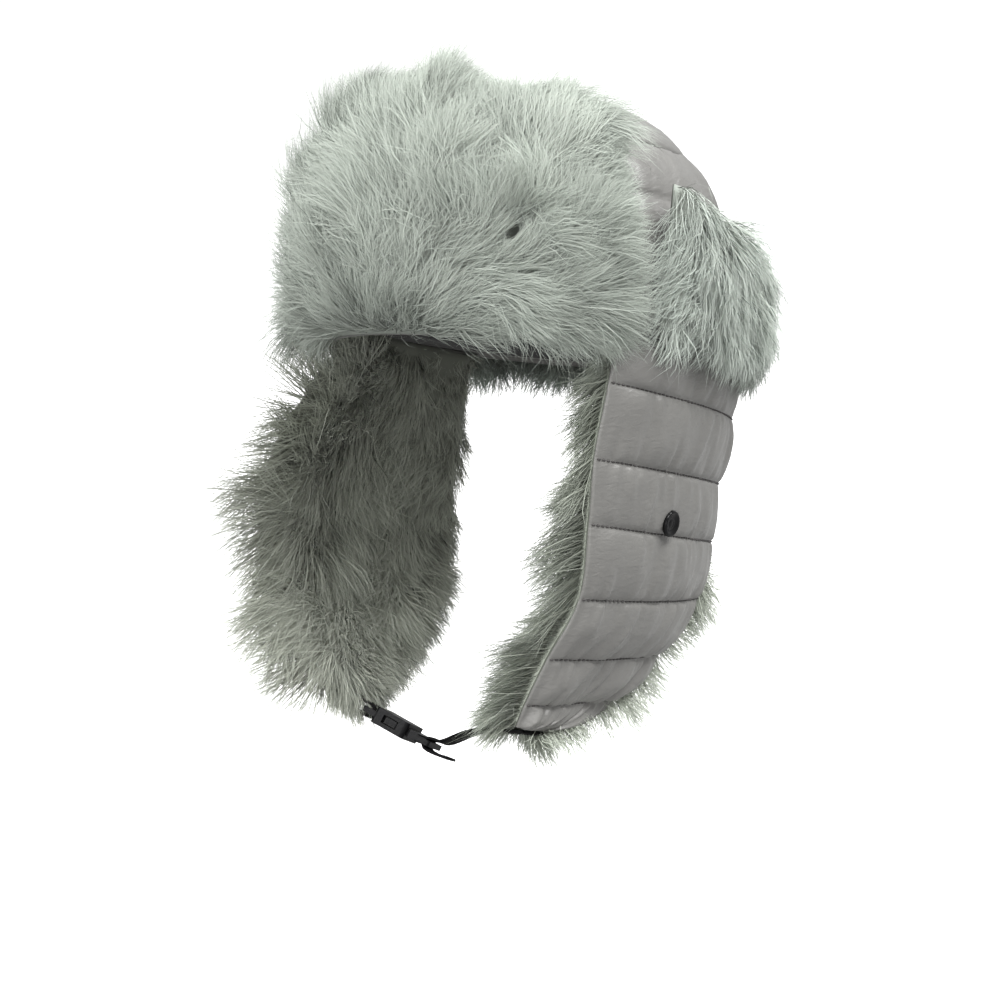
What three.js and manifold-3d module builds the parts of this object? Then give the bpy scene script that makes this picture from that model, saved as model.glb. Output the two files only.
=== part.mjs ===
// Aviator hat as it is worn: a quilted crown, fur flaps turned up at the front and the back, quilted
// ear flaps with a fur lining, and a chin strap with a side-release buckle.
// Millimetres, +Z up. The wearer faces -Y, and +X is the wearer's left. The origin is the middle of
// the crown's rim, where the hat sits on a head.
import * as THREE from "three";
import { mergeVertices } from "three/addons/utils/BufferGeometryUtils.js";
import Module from "manifold-3d";

const wasm = await Module();
wasm.setup();

const { PI, sin, cos, sqrt, exp, min, max, floor, abs } = Math;
const degrees = THREE.MathUtils.degToRad;

// Driving dimensions
const HEAD_HALF_WIDTH = 82;
const HEAD_HALF_DEPTH = 101;
const CROWN_HEIGHT = 110;
const CROWN_WALL = 5;
const CROWN_SQUARENESS = 2.4;
const WORN_TILT = degrees(17);
const WORN_ROLL = degrees(4);
const WORN_TURN = degrees(5);
const CHANNEL = 33;
const PUFF = 2.6;
const BAND_CHANNELS = 3;
const TOP_PUFFS_BY = 0.25;
const CROWN_GRID = { columns: 40, rowsPerChannel: 3, innerRows: 3, topRows: 5 };
const GAP = 0.4;
const PANEL_WALL = 2.5;
const FUR_GAP = 0.4;
const EAR_FUR_GAP = 0.9;

// The front flap stands outside the crown. Turns are angles round the crown from its front.
// A tack through the front flap draws its pile down into a dimple.
const FRONT = {
  halfTurn: degrees(52),
  fold: -9,
  endRise: 9,
  height: 111,
  stand: 7.6,
  belly: 5,
  bellyFrom: 0.2,
  lean: 16,
  corner: 0.52,
  cornerFrom: 0.5,
};
const FRONT_GRID = { columns: 16, rows: 5 };
const FRONT_FUR = {
  columns: 28,
  rows: 12,
  pile: 28,
  edges: [0.3, 0.3],
  overhangs: [14, 14],
  droop: 12,
  rise: 14,
  lean: 5,
};
const TACK = { across: 0.52, up: 0.39, reach: 15, depth: 0.6 };

// The back flap runs round the back from ear to ear, and is lower at the back than at its ends.
const BACK = {
  halfTurn: degrees(108),
  fold: -2,
  endRise: 7,
  height: 64,
  backDrop: 30,
  stand: 7.6,
  flare: 2,
};
const BACK_GRID = { columns: 30, rows: 2 };
const BACK_FUR = {
  columns: 40,
  rows: 6,
  pile: 19,
  edges: [0.3, 0.3],
  overhangs: [12, 12],
  droop: 12,
  rise: 12,
  lean: -4,
};

// How a lock of fur stands and reaches, as shares of the pile and of the overhang.
const LOCK = {
  betweenTips: 0.74,
  root: 0.8,
  uneven: 0.16,
  nextToEdge: 0.86,
  shortReach: 0.62,
  nextReach: 0.4,
  thinRim: 0.3,
  nextSideways: 0.4,
};

// Each row of an ear flap is one seam, from its front edge to its back edge, with the outward bulge
// of its middle. The first row is the crown's rim. The wearer's right flap stands off the cheek.
const EAR_TURNS_LEFT = { front: degrees(58), back: degrees(129) };
const EAR_TURNS_RIGHT = { front: degrees(54), back: degrees(124) };
const EAR_WALL = 4;
const EAR_ROWS_LEFT = [
  { front: [71, -70, 2], back: [77, 54, -41], bulge: 14 },
  { front: [68, -78, -32], back: [72, 51, -73], bulge: 13 },
  { front: [67, -81, -62], back: [71, 46, -101], bulge: 12 },
  { front: [64, -84, -97], back: [69, 36, -127], bulge: 10 },
  { front: [52, -92, -125], back: [61, 10, -149], bulge: 8 },
  { front: [43, -97, -147], back: [52, -22, -163], bulge: 5 },
  { front: [39, -98, -158], back: [44, -79, -165], bulge: 0 },
];
const EAR_ROWS_RIGHT = [
  { front: [79, -57, -3], back: [74, 58, -38], bulge: 12 },
  { front: [97, -70, -32], back: [75, 54, -66], bulge: 12 },
  { front: [107, -79, -63], back: [76, 48, -93], bulge: 12 },
  { front: [106, -86, -97], back: [74, 37, -118], bulge: 11 },
  { front: [95, -92, -126], back: [70, 9, -140], bulge: 8 },
  { front: [75, -94, -146], back: [62, -22, -155], bulge: 5 },
  { front: [54, -97, -158], back: [56, -79, -163], bulge: 0 },
];
const EAR_GRID = { columns: 8, rowsPerChannel: 3, edgePuff: 0.4 };
const EAR_FUR = {
  columns: 12,
  rows: 16,
  pile: 20,
  droop: 0,
  rise: 0,
  lean: 3,
  tipThinning: 0.75,
  thinFrom: 0.7,
  topThinning: 0.97,
  fullFrom: 0.2,
};
const EAR_FUR_LEFT = { ...EAR_FUR, edges: [0.5, -0.3], overhangs: [21, 18] };
const EAR_FUR_RIGHT = { ...EAR_FUR, edges: [-0.3, -0.3], overhangs: [27, 18] };
const EAR_SPANS = { half: 60, length: 175 };

// Snap cap on each ear flap, by its place across and down the flap. Its profile is given in shares
// of its radius and height: a raised rim round a dished middle.
const SNAP = { radius: 6, height: 2, across: -0.21, down: 0.4, seat: 2.65, segments: 14 };
const SNAP_PROFILE = [
  { out: 0, up: 0 },
  { out: 0.92, up: 0 },
  { out: 1, up: 0.5 },
  { out: 0.84, up: 1 },
  { out: 0.62, up: 0.7 },
  { out: 0.3, up: 0.55 },
  { out: 0, up: 0.55 },
];

// Chin strap and buckle. The buckle's own frame has x along the strap towards the wearer's left,
// y across the strap and z out from the skin. Its origin is the middle of the socket's free end.
const WEBBING = { width: 15, wall: 1.4 };
const BUCKLE_PLACE = new THREE.Vector3(-40, -95, -163);
const BUCKLE_ALONG = new THREE.Vector3(0.94, 0, -0.34).normalize();
const BUCKLE_OUT = new THREE.Vector3(-0.33, -0.45, -0.83);
const SOCKET = {
  length: 24,
  width: 23,
  wall: 2,
  height: 8,
  corner: 2,
  mouthFrom: 8,
  windowFrom: 11,
  windowLength: 8,
};
const CLIP = {
  shoulder: 6,
  width: 20,
  height: 4,
  corner: 1.2,
  armWidth: 3,
  armLength: 13,
  barb: 2.2,
  barbLength: 6,
};
const END_FRAME = { bar: 2.6, slot: 3.4, opening: 16.4, corner: 1.2 };
const JOINED_BY = 2;
const MOUTH_GAP = 0.6;
const BAR_GAP = 0.3;
const STRAP_MIDDLE = new THREE.Vector3(18, -95, -164);
const STRAP_DROP = { left: 0.5 + WEBBING.wall / 2, right: 0.8 + WEBBING.wall / 2 };
const STRAP_START = { outwards: 0.5, inwards: 1.5, sinks: { left: 1.3, right: 1 } };
const STRAP_STEPS = 32;
const TAIL = { length: 11, sag: 1.5, bow: 0.3 };
const WRAP_END = { before: 4, after: 5, sag: 0.4 };
const WIDTH_TURNED_BY = 0.3;

// The hollow in each flap's fur for the strap and the buckle reaches this far down.
const STRAP_WAY = { drop: 12.4, height: 28, steps: 6, socketMargin: 1, socketFrom: -3 };

const point = (x, y, z) => new THREE.Vector3(x, y, z);
const listPoint = ([x, y, z]) => point(x, y, z);
const blend = (a, b, share) => a + (b - a) * share;

// A number from 0 to 1 that looks random and is the same each time for a column and row.
function scatter(column, row) {
  const value = sin(column * 12.9898 + row * 78.233) * 43758.5453;
  return value - floor(value);
}

// A closed solid between two grids of points, each a list of rows. Along a row times up the rows
// points out of the first grid. A ring of rows closes round, and a row of one point is a pole.
function solidBetween(outer, inner, closed) {
  const positions = [];
  const triangle = (a, b, c) => positions.push(...a, ...b, ...c);
  const quad = (a, b, c, d) => {
    triangle(a, b, c);
    triangle(a, c, d);
  };
  const skin = (grid, flip) => {
    for (let j = 0; j + 1 < grid.length; j++) {
      const low = grid[j];
      const high = grid[j + 1];
      const steps = closed ? low.length : low.length - 1;
      for (let i = 0; i < steps; i++) {
        const next = (i + 1) % low.length;
        if (high.length === 1 && flip) triangle(low[next], low[i], high[0]);
        else if (high.length === 1) triangle(low[i], low[next], high[0]);
        else if (flip) quad(low[i], high[i], high[next], low[next]);
        else quad(low[i], low[next], high[next], high[i]);
      }
    }
  };
  skin(outer, false);
  skin(inner, true);
  const edge = (near, far) => {
    const steps = closed ? near.length : near.length - 1;
    for (let i = 0; i < steps; i++) {
      const next = (i + 1) % near.length;
      quad(far[i], far[next], near[next], near[i]);
    }
  };
  edge(outer[0], inner[0]);
  if (outer.at(-1).length > 1) edge(inner.at(-1), outer.at(-1));
  if (!closed) {
    for (let j = 0; j + 1 < outer.length; j++) {
      const last = outer[j].length - 1;
      quad(outer[j][0], outer[j + 1][0], inner[j + 1][0], inner[j][0]);
      quad(inner[j][last], inner[j + 1][last], outer[j + 1][last], outer[j][last]);
    }
  }
  const geometry = new THREE.BufferGeometry();
  geometry.setAttribute("position", new THREE.Float32BufferAttribute(positions, 3));
  geometry.computeVertexNormals();
  return geometry;
}

// Rows of points from a function of the column's share and the row's share.
function gridOf(columns, rows, closed, place) {
  const count = closed ? columns : columns + 1;
  const rowAt = (j) => Array.from({ length: count }, (_, i) => place(i / columns, j / rows, i, j).toArray());
  return Array.from({ length: rows + 1 }, (_, j) => rowAt(j));
}

// The same solid on the other side of the hat.
function mirrored(geometry) {
  const made = geometry.index ? geometry.toNonIndexed() : geometry.clone();
  const place = made.getAttribute("position");
  for (let i = 0; i < place.count; i++) place.setX(i, -place.getX(i));
  for (let i = 0; i < place.count; i += 3) {
    const second = [place.getX(i + 1), place.getY(i + 1), place.getZ(i + 1)];
    place.setXYZ(i + 1, place.getX(i + 2), place.getY(i + 2), place.getZ(i + 2));
    place.setXYZ(i + 2, ...second);
  }
  made.computeVertexNormals();
  return made;
}

function toManifold(geometry) {
  const loose = geometry.index ? geometry.toNonIndexed() : geometry;
  const bare = new THREE.BufferGeometry();
  bare.setAttribute("position", loose.getAttribute("position"));
  const merged = mergeVertices(bare, 1e-3);
  return new wasm.Manifold(
    new wasm.Mesh({
      numProp: 3,
      vertProperties: merged.getAttribute("position").array,
      triVerts: new Uint32Array(merged.index.array),
    }),
  );
}

function toGeometry(solid) {
  const mesh = solid.getMesh();
  const geometry = new THREE.BufferGeometry();
  geometry.setAttribute("position", new THREE.BufferAttribute(new Float32Array(mesh.vertProperties), 3));
  geometry.setIndex(new THREE.BufferAttribute(new Uint32Array(mesh.triVerts), 1));
  const flat = geometry.toNonIndexed();
  flat.computeVertexNormals();
  return flat;
}

// Crown

// A point of the crown's dome, grown by some millimetres from its inside. Climb is 0 at the rim and
// a right angle at the top.
function domePoint(turn, climb, grow) {
  const power = 2 / CROWN_SQUARENESS;
  const ring = max(0, cos(climb)) ** power;
  const rise = sin(climb) ** power;
  return point(
    (HEAD_HALF_WIDTH + grow) * ring * sin(turn),
    -(HEAD_HALF_DEPTH + grow) * ring * cos(turn),
    (CROWN_HEIGHT + grow) * rise,
  );
}

// The climb at which the dome's side is a stated length up from the rim.
function climbAt(length) {
  const steps = 400;
  const side = PI / 4;
  let walked = 0;
  let last = domePoint(side, 0, CROWN_WALL);
  for (let n = 1; n <= steps; n++) {
    const climb = ((n / steps) * PI) / 2;
    const next = domePoint(side, climb, CROWN_WALL);
    walked += next.distanceTo(last);
    if (walked >= length) return climb;
    last = next;
  }
  return PI / 2;
}

// How far padding stands out at a share of its channel, from seam to seam.
const pillow = (share) => sqrt(max(0, 4 * share * (1 - share)));

function crownBand() {
  const { columns, rowsPerChannel, innerRows } = CROWN_GRID;
  const outer = gridOf(columns, BAND_CHANNELS * rowsPerChannel, true, (across, up) => {
    const channels = up * BAND_CHANNELS;
    return domePoint(
      across * 2 * PI,
      climbAt(channels * CHANNEL),
      CROWN_WALL + PUFF * pillow(channels - floor(channels)),
    );
  });
  const inner = gridOf(columns, innerRows, true, (across, up) =>
    domePoint(across * 2 * PI, climbAt(up * BAND_CHANNELS * CHANNEL), 0),
  );
  return solidBetween(outer, inner, true);
}

function crownTop() {
  const { columns, innerRows, topRows } = CROWN_GRID;
  const from = climbAt(BAND_CHANNELS * CHANNEL + GAP);
  const cap = (rows, grow) => [
    ...gridOf(columns, rows, true, (across, up) =>
      domePoint(across * 2 * PI, blend(from, PI / 2, (up * rows) / (rows + 1)), grow(up)),
    ),
    [domePoint(0, PI / 2, grow(1)).toArray()],
  ];
  return solidBetween(
    cap(topRows, (up) => CROWN_WALL + PUFF * sqrt(min(1, up / TOP_PUFFS_BY))),
    cap(innerRows, () => 0),
    true,
  );
}

// Turned-up flaps, in the crown's own frame

// A point of the front flap: across from -1 to 1, up from 0 at the fold, and out from its crown side.
function frontPoint(across, up, out) {
  const bend = min(1, max(0, (up - FRONT.cornerFrom) / (1 - FRONT.cornerFrom)));
  const halfTurn = FRONT.halfTurn * (1 - FRONT.corner * (1 - sqrt(1 - bend * bend)));
  const swell = min(1, max(0, (up - FRONT.bellyFrom) / FRONT.bellyFrom));
  const stand = FRONT.stand + FRONT.belly * swell - FRONT.lean * max(0, up) ** 3 + out;
  return point(
    (HEAD_HALF_WIDTH + stand) * sin(across * halfTurn),
    -(HEAD_HALF_DEPTH + stand) * cos(across * halfTurn),
    FRONT.fold + FRONT.endRise * max(0, min(1, across)) ** 2 * (1 - up) + up * FRONT.height,
  );
}

// A point of the back flap, with the same three shares.
function backPoint(across, up, out) {
  const turn = PI + across * BACK.halfTurn;
  const end = min(1, across * across);
  const height = BACK.height - BACK.backDrop * (1 - end);
  const stand = BACK.stand + BACK.flare * up + out;
  return point(
    (HEAD_HALF_WIDTH + stand) * sin(turn),
    -(HEAD_HALF_DEPTH + stand) * cos(turn),
    BACK.fold + BACK.endRise * end * end + up * height,
  );
}

function panel(place, { columns, rows }) {
  const face = (out) => gridOf(columns, rows, false, (across, up) => place(2 * across - 1, up, out));
  return solidBetween(face(PANEL_WALL), face(0), false);
}

// Fur on a backing: its outer side is rows of overlapping locks, two columns wide and two rows long,
// and its edges end in longer and shorter points. Spans are the backing's half width and its length.
function furOn(place, fur, spans, thinning = () => 1) {
  const { columns, rows, pile, edges, overhangs, droop, rise, lean } = fur;
  const skin = gridOf(columns, rows, false, (across, up) => place(2 * across - 1, up, 0));
  const tips = gridOf(columns, rows, false, (across, up, i, j) => {
    const pair = floor(j / 2);
    const crest = (i + pair) % 2 === 0;
    const tipRow = j % 2 === 1;
    const sideSteps = min(i, columns - i);
    const lowSteps = fur.droop ? j : rows;
    const highSteps = fur.rise ? rows - j : rows;
    const edgeSteps = min(sideSteps, lowSteps, highSteps);
    const edge = edgeSteps === 0;
    const standing = tipRow ? (crest ? 1 : LOCK.betweenTips) : LOCK.root;
    const lock = standing * (1 + LOCK.uneven * (scatter(i, j) - 0.5));
    const half = i < columns / 2 ? 0 : 1;
    const overhang = overhangs[half];
    const thin = thinning(2 * across - 1, up);
    const edgeRim = blend(LOCK.thinRim, edges[half], thin);
    const rim = edge ? edgeRim : edgeSteps === 1 ? LOCK.nextToEdge : 1;
    const height = pile * lock * rim * thin;
    const edgeReach = crest ? 1 : LOCK.shortReach;
    const reach = (edge ? edgeReach : edgeSteps === 1 ? LOCK.nextReach : 0) * sqrt(thin);
    const outermost = sideSteps === 0 ? 1 : sideSteps === 1 ? LOCK.nextSideways : 0;
    const sideways = outermost * (half === 0 ? -reach : reach);
    const along = lowSteps <= 1 ? -droop * reach : highSteps <= 1 ? rise * reach : 0;
    const inset = edgeSteps > 1 && tipRow ? lean : 0;
    return place(
      2 * across - 1 + (sideways * overhang) / spans.half,
      up + (along + inset) / spans.length,
      height,
    );
  });
  return solidBetween(tips, skin, false);
}

// Ear flaps

const wornSeat = new THREE.Euler(-WORN_TILT, -WORN_ROLL, -WORN_TURN);
const crownToWorld = new THREE.Matrix4().makeRotationFromEuler(wornSeat);
const rimPoint = (turn, grow, drop) => domePoint(turn, 0, grow).setZ(-drop).applyMatrix4(crownToWorld);

// The surface of an ear flap, from its rows: across is -1 at the front edge and 1 at the back edge,
// and down is 0 at the rim and 1 at the tip. Side is -1 for the wearer's right flap, whose rows and
// surface are kept mirrored.
function earSurface(rows, turns, side) {
  const rimAt = (turn) => {
    const place = rimPoint(side * turn, CROWN_WALL, GAP);
    return place.setX(side * place.x);
  };
  const first = { front: rimAt(turns.front).toArray(), back: rimAt(turns.back).toArray() };
  const middle = rimAt((turns.front + turns.back) / 2);
  const chord = listPoint(first.front).lerp(listPoint(first.back), 0.5);
  first.bulge = middle.distanceTo(chord);
  const all = [first, ...rows];
  const curve = (points) => new THREE.CatmullRomCurve3(points, false, "catmullrom", 0.5);
  const fronts = curve(all.map((row) => listPoint(row.front)));
  const backs = curve(all.map((row) => listPoint(row.back)));
  const bulges = curve(all.map((row) => point(row.bulge, 0, 0)));
  const held = (across, down) => {
    const front = fronts.getPoint(down);
    const back = backs.getPoint(down);
    const out = point(back.y - front.y, front.x - back.x, 0).normalize();
    return front
      .clone()
      .lerp(back, (across + 1) / 2)
      .addScaledVector(out, bulges.getPoint(down).x * (1 - across * across));
  };
  const step = 0.01;
  return (across, down) => {
    const sideHeld = min(1, max(-1, across));
    const downHeld = min(1, max(0, down));
    const place = held(sideHeld, downHeld);
    if (across !== sideHeld) {
      const side = place.clone().sub(held(sideHeld * (1 - step), downHeld)).normalize();
      place.addScaledVector(side, abs(across - sideHeld) * EAR_SPANS.half);
    }
    if (down !== downHeld) {
      const beyond = held(sideHeld, 1).sub(held(sideHeld, 1 - step)).normalize();
      place.addScaledVector(beyond, (down - downHeld) * EAR_SPANS.length);
    }
    return place;
  };
}

function outwardAt(surface, across, down) {
  const step = 0.01;
  const held = min(0.99, max(0.01, down));
  const side = min(0.99, max(-0.99, across));
  const along = surface(side + step, held).sub(surface(side - step, held));
  const downwards = surface(side, held + step).sub(surface(side, held - step));
  return downwards.cross(along).normalize();
}

const earPoint = (surface) => (across, down, out) =>
  surface(across, down).addScaledVector(outwardAt(surface, across, down), out);

function earShell(surface) {
  const place = earPoint(surface);
  const rows = EAR_GRID.rowsPerChannel * EAR_ROWS_LEFT.length;
  const face = (height) =>
    gridOf(EAR_GRID.columns, rows, false, (share, down, i, j) => {
      const padded = (j % EAR_GRID.rowsPerChannel) / EAR_GRID.rowsPerChannel;
      const edge = i === 0 || i === EAR_GRID.columns ? EAR_GRID.edgePuff : 1;
      return place(1 - 2 * share, down, height(pillow(padded) * edge));
    });
  return solidBetween(
    face((puff) => PUFF * puff),
    face(() => -EAR_WALL),
    false,
  );
}

// The lining is thinner near the tip of a flap, and at its top, where it meets the crown's rim.
function earThinning(across, down) {
  const towardsTip = max(0, down - EAR_FUR.thinFrom) / (1 - EAR_FUR.thinFrom);
  const towardsTop = max(0, 1 - down / EAR_FUR.fullFrom);
  return 1 - EAR_FUR.tipThinning * towardsTip - EAR_FUR.topThinning * towardsTop;
}

function earFur(surface, fur) {
  const place = earPoint(surface);
  return furOn(
    (across, down, out) => place(across, down, -EAR_WALL - EAR_FUR_GAP - out),
    fur,
    EAR_SPANS,
    earThinning,
  );
}

function snapCap(surface) {
  const { radius, height, across, down, segments } = SNAP;
  const profile = SNAP_PROFILE.map((row) => new THREE.Vector2(row.out * radius, row.up * height));
  const geometry = new THREE.LatheGeometry(profile, segments);
  const out = outwardAt(surface, across, down);
  const seat = surface(across, down).addScaledVector(out, SNAP.seat);
  geometry.applyQuaternion(new THREE.Quaternion().setFromUnitVectors(point(0, 1, 0), out));
  geometry.translate(seat.x, seat.y, seat.z);
  return geometry;
}

// Chin strap

const buckleFrame = new THREE.Matrix4();
{
  const along = BUCKLE_ALONG.clone();
  const across = BUCKLE_OUT.clone().cross(along).normalize();
  const out = along.clone().cross(across);
  buckleFrame.makeBasis(along, across, out).setPosition(BUCKLE_PLACE);
}
const inBuckle = (x, z) => point(x, 0, z).applyMatrix4(buckleFrame);
const buckleAcross = point(0, 1, 0).transformDirection(buckleFrame);

// Webbing along a smooth path. Its width turns from one direction at the start to another at the end.
function webbing(path, widthStart, widthEnd, width, wall, steps) {
  const curve = new THREE.CatmullRomCurve3(path, false, "centripetal");
  const face = (side) =>
    gridOf(1, steps, false, (share, along) => {
      const tangent = curve.getTangent(along);
      const wide = widthStart.clone().lerp(widthEnd, min(1, along / WIDTH_TURNED_BY)).normalize();
      const out = wide.clone().cross(tangent).normalize();
      return curve
        .getPoint(along)
        .addScaledVector(wide, (share - 0.5) * width)
        .addScaledVector(out, (side * wall) / 2);
    });
  return solidBetween(face(1), face(-1), false);
}

// A flat slab of the buckle between two x and two y, mid height at z = 0.
function slab(x0, x1, y0, y1, height, corner = 0) {
  const shape = new THREE.Shape();
  shape.moveTo(x0 + corner, y0);
  shape.lineTo(x1 - corner, y0);
  if (corner) shape.absarc(x1 - corner, y0 + corner, corner, -PI / 2, 0, false);
  shape.lineTo(x1, y1 - corner);
  if (corner) shape.absarc(x1 - corner, y1 - corner, corner, 0, PI / 2, false);
  shape.lineTo(x0 + corner, y1);
  if (corner) shape.absarc(x0 + corner, y1 - corner, corner, PI / 2, PI, false);
  shape.lineTo(x0, y0 + corner);
  if (corner) shape.absarc(x0 + corner, y0 + corner, corner, PI, 1.5 * PI, false);
  const made = new THREE.ExtrudeGeometry(shape, { depth: height, bevelEnabled: false, curveSegments: 4 });
  made.translate(0, 0, -height / 2);
  return toManifold(made);
}

// The open frame at a buckle part's end, with a bar for the webbing at barFrom and two side rails.
function endFrame(barFrom, slotFrom, rootTo, width) {
  const { bar, opening } = END_FRAME;
  const half = width / 2;
  const low = min(barFrom, rootTo);
  const high = max(barFrom + bar, rootTo);
  const hole = slab(slotFrom, slotFrom + END_FRAME.slot, -opening / 2, opening / 2, 2 * SOCKET.height);
  return slab(low, high, -half, half, bar, END_FRAME.corner).subtract(hole);
}

const SOCKET_BAR_X = END_FRAME.bar / 2;
const CLIP_FROM = SOCKET.length + MOUTH_GAP;
const CLIP_BAR_FROM = CLIP_FROM + CLIP.shoulder + END_FRAME.slot;
const CLIP_BAR_X = CLIP_BAR_FROM + END_FRAME.bar / 2;

// The socket: a hollow body, open at its mouth and at a window in each side.
function buckleSocket() {
  const { length, width, wall, height, corner, mouthFrom, windowFrom, windowLength } = SOCKET;
  const half = width / 2;
  const bodyFrom = END_FRAME.bar + END_FRAME.slot;
  const inside = height - 2 * wall;
  const frame = endFrame(0, END_FRAME.bar, bodyFrom + JOINED_BY, width);
  const body = slab(bodyFrom, length, -half, half, height, corner);
  const mouth = slab(mouthFrom, length + JOINED_BY, wall - half, half - wall, inside);
  const windows = slab(windowFrom, windowFrom + windowLength, -width, width, inside);
  return frame.add(body).subtract(mouth).subtract(windows);
}

// The clip: a shoulder at the mouth, two arms with barbs that stand in the windows, and an end frame.
function buckleClip() {
  const { shoulder, width, height, corner, armWidth, armLength, barb, barbLength } = CLIP;
  const half = width / 2;
  const armOut = SOCKET.width / 2 - SOCKET.wall - MOUTH_GAP;
  const tip = CLIP_FROM - armLength;
  const armHeight = SOCKET.height - 2 * SOCKET.wall - 2 * GAP;
  const barbFrom = SOCKET.windowFrom + SOCKET.windowLength - MOUTH_GAP - barbLength;
  const shoulderTo = CLIP_FROM + shoulder;
  const arm = slab(tip, CLIP_FROM + JOINED_BY, armOut - armWidth, armOut, armHeight);
  const catchBlock = slab(barbFrom, barbFrom + barbLength, armOut - armWidth, armOut + barb, armHeight);
  const oneSide = arm.add(catchBlock);
  return slab(CLIP_FROM, shoulderTo, -half, half, height, corner)
    .add(endFrame(CLIP_BAR_FROM, shoulderTo, shoulderTo - JOINED_BY, width))
    .add(oneSide)
    .add(oneSide.mirror([0, 1, 0]));
}

const placedBuckle = (solid) => toGeometry(solid).applyMatrix4(buckleFrame);

const ROUND_BAR = (END_FRAME.bar * Math.SQRT2) / 2 + BAR_GAP + WEBBING.wall / 2;

// Half a turn of webbing round a bar, from its skin side to its outer side. Facing is 1 where the
// webbing comes from +x.
function roundBar(barX, facing) {
  return [-90, -45, 0, 45, 90].map((angle) =>
    inBuckle(barX - facing * ROUND_BAR * cos(degrees(angle)), ROUND_BAR * sin(degrees(angle))),
  );
}

// The tip of an ear flap, as points out from its lower edge: inwards from its outer face and
// downwards. Side is -1 for the wearer's right flap, whose rows are kept mirrored.
function tipPoint(surface, side, inwards, downwards) {
  const middle = surface(-1, 1).add(surface(1, 1)).multiplyScalar(0.5);
  const edge = surface(1, 1).sub(surface(-1, 1)).normalize();
  const down = surface(-1, 1).sub(surface(-1, 0.97));
  down.addScaledVector(edge, -down.dot(edge)).normalize();
  const out = outwardAt(surface, 0, 1);
  middle.addScaledVector(out, -inwards).addScaledVector(down, downwards);
  return point(side * middle.x, middle.y, middle.z);
}

// The way from the back to the front of a flap's tip, which the webbing's width follows there.
function tipEdge(surface, side) {
  const edge = surface(-1, 1).sub(surface(1, 1)).normalize();
  return point(side * edge.x, edge.y, edge.z);
}

// The wearer's left strap: from the flap's tip to the clip, round its bar and on as a loose tail.
function strapLeftPath(surface) {
  return [
    tipPoint(surface, 1, -STRAP_START.outwards, STRAP_DROP.left),
    tipPoint(surface, 1, STRAP_START.inwards, STRAP_DROP.left + STRAP_START.sinks.left),
    STRAP_MIDDLE,
    inBuckle(CLIP_BAR_X + WRAP_END.after, -ROUND_BAR - TAIL.sag),
    ...roundBar(CLIP_BAR_X, 1),
    inBuckle(CLIP_BAR_X + TAIL.length / 2, ROUND_BAR - TAIL.bow),
    inBuckle(CLIP_BAR_X + TAIL.length, ROUND_BAR - TAIL.sag),
  ];
}

// The wearer's right strap: from the flap's tip to the socket, round its bar and back.
function strapRightPath(surface) {
  return [
    tipPoint(surface, -1, -STRAP_START.outwards, STRAP_DROP.right),
    tipPoint(surface, -1, STRAP_START.inwards, STRAP_DROP.right + STRAP_START.sinks.right),
    inBuckle(SOCKET_BAR_X - WRAP_END.before, -ROUND_BAR),
    ...roundBar(SOCKET_BAR_X, -1),
    inBuckle(SOCKET_BAR_X - WRAP_END.after, ROUND_BAR - WRAP_END.sag),
  ];
}

function strap(path, startEdge) {
  return webbing(path, startEdge, buckleAcross, WEBBING.width, WEBBING.wall, STRAP_STEPS);
}

// What is cut out of a flap's fur: the strap's way, widened and carried on downwards.
function strapWay(path, startEdge, width) {
  const lowered = path.map((place) => place.clone().setZ(place.z - STRAP_WAY.drop));
  const way = webbing(lowered, startEdge, buckleAcross, width, STRAP_WAY.height, STRAP_WAY.steps);
  return toManifold(way);
}

// The assembly

function finish(name, color, roughness) {
  return new THREE.MeshStandardMaterial({ name, color, roughness, metalness: 0 });
}

const FINISH = {
  nylon: finish("nylon", 0x8b8984, 0.45),
  fur: finish("fur", 0xa4aaa1, 0.9),
  plastic: finish("plastic", 0x161718, 0.35),
  webbing: finish("webbing", 0x17171a, 0.85),
};

function named(name, geometry, material) {
  const mesh = new THREE.Mesh(geometry, material);
  mesh.name = name;
  return mesh;
}

const earLeft = earSurface(EAR_ROWS_LEFT, EAR_TURNS_LEFT, 1);
const earRight = earSurface(EAR_ROWS_RIGHT, EAR_TURNS_RIGHT, -1);
const outside = PANEL_WALL + FUR_GAP;
const frontSpans = { half: FRONT.halfTurn * (HEAD_HALF_DEPTH + FRONT.stand), length: FRONT.height };
const backSpans = { half: BACK.halfTurn * (HEAD_HALF_DEPTH + BACK.stand), length: BACK.height };

// The tack draws the pile in near it.
function tackDip(across, up) {
  const away = (across - TACK.across) * frontSpans.half;
  const above = (up - TACK.up) * frontSpans.length;
  return 1 - TACK.depth * exp(-(away * away + above * above) / TACK.reach ** 2);
}

const crown = new THREE.Group();
crown.rotation.copy(wornSeat);
crown.add(
  named("crown_band", crownBand(), FINISH.nylon),
  named("crown_top", crownTop(), FINISH.nylon),
  named("front_flap_shell", panel(frontPoint, FRONT_GRID), FINISH.nylon),
  named(
    "front_flap_fur",
    furOn((a, u, o) => frontPoint(a, u, outside + o), FRONT_FUR, frontSpans, tackDip),
    FINISH.fur,
  ),
  named("back_flap_shell", panel(backPoint, BACK_GRID), FINISH.nylon),
  named(
    "back_flap_fur",
    furOn((a, u, o) => backPoint(a, u, outside + o), BACK_FUR, backSpans),
    FINISH.fur,
  ),
);

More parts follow.
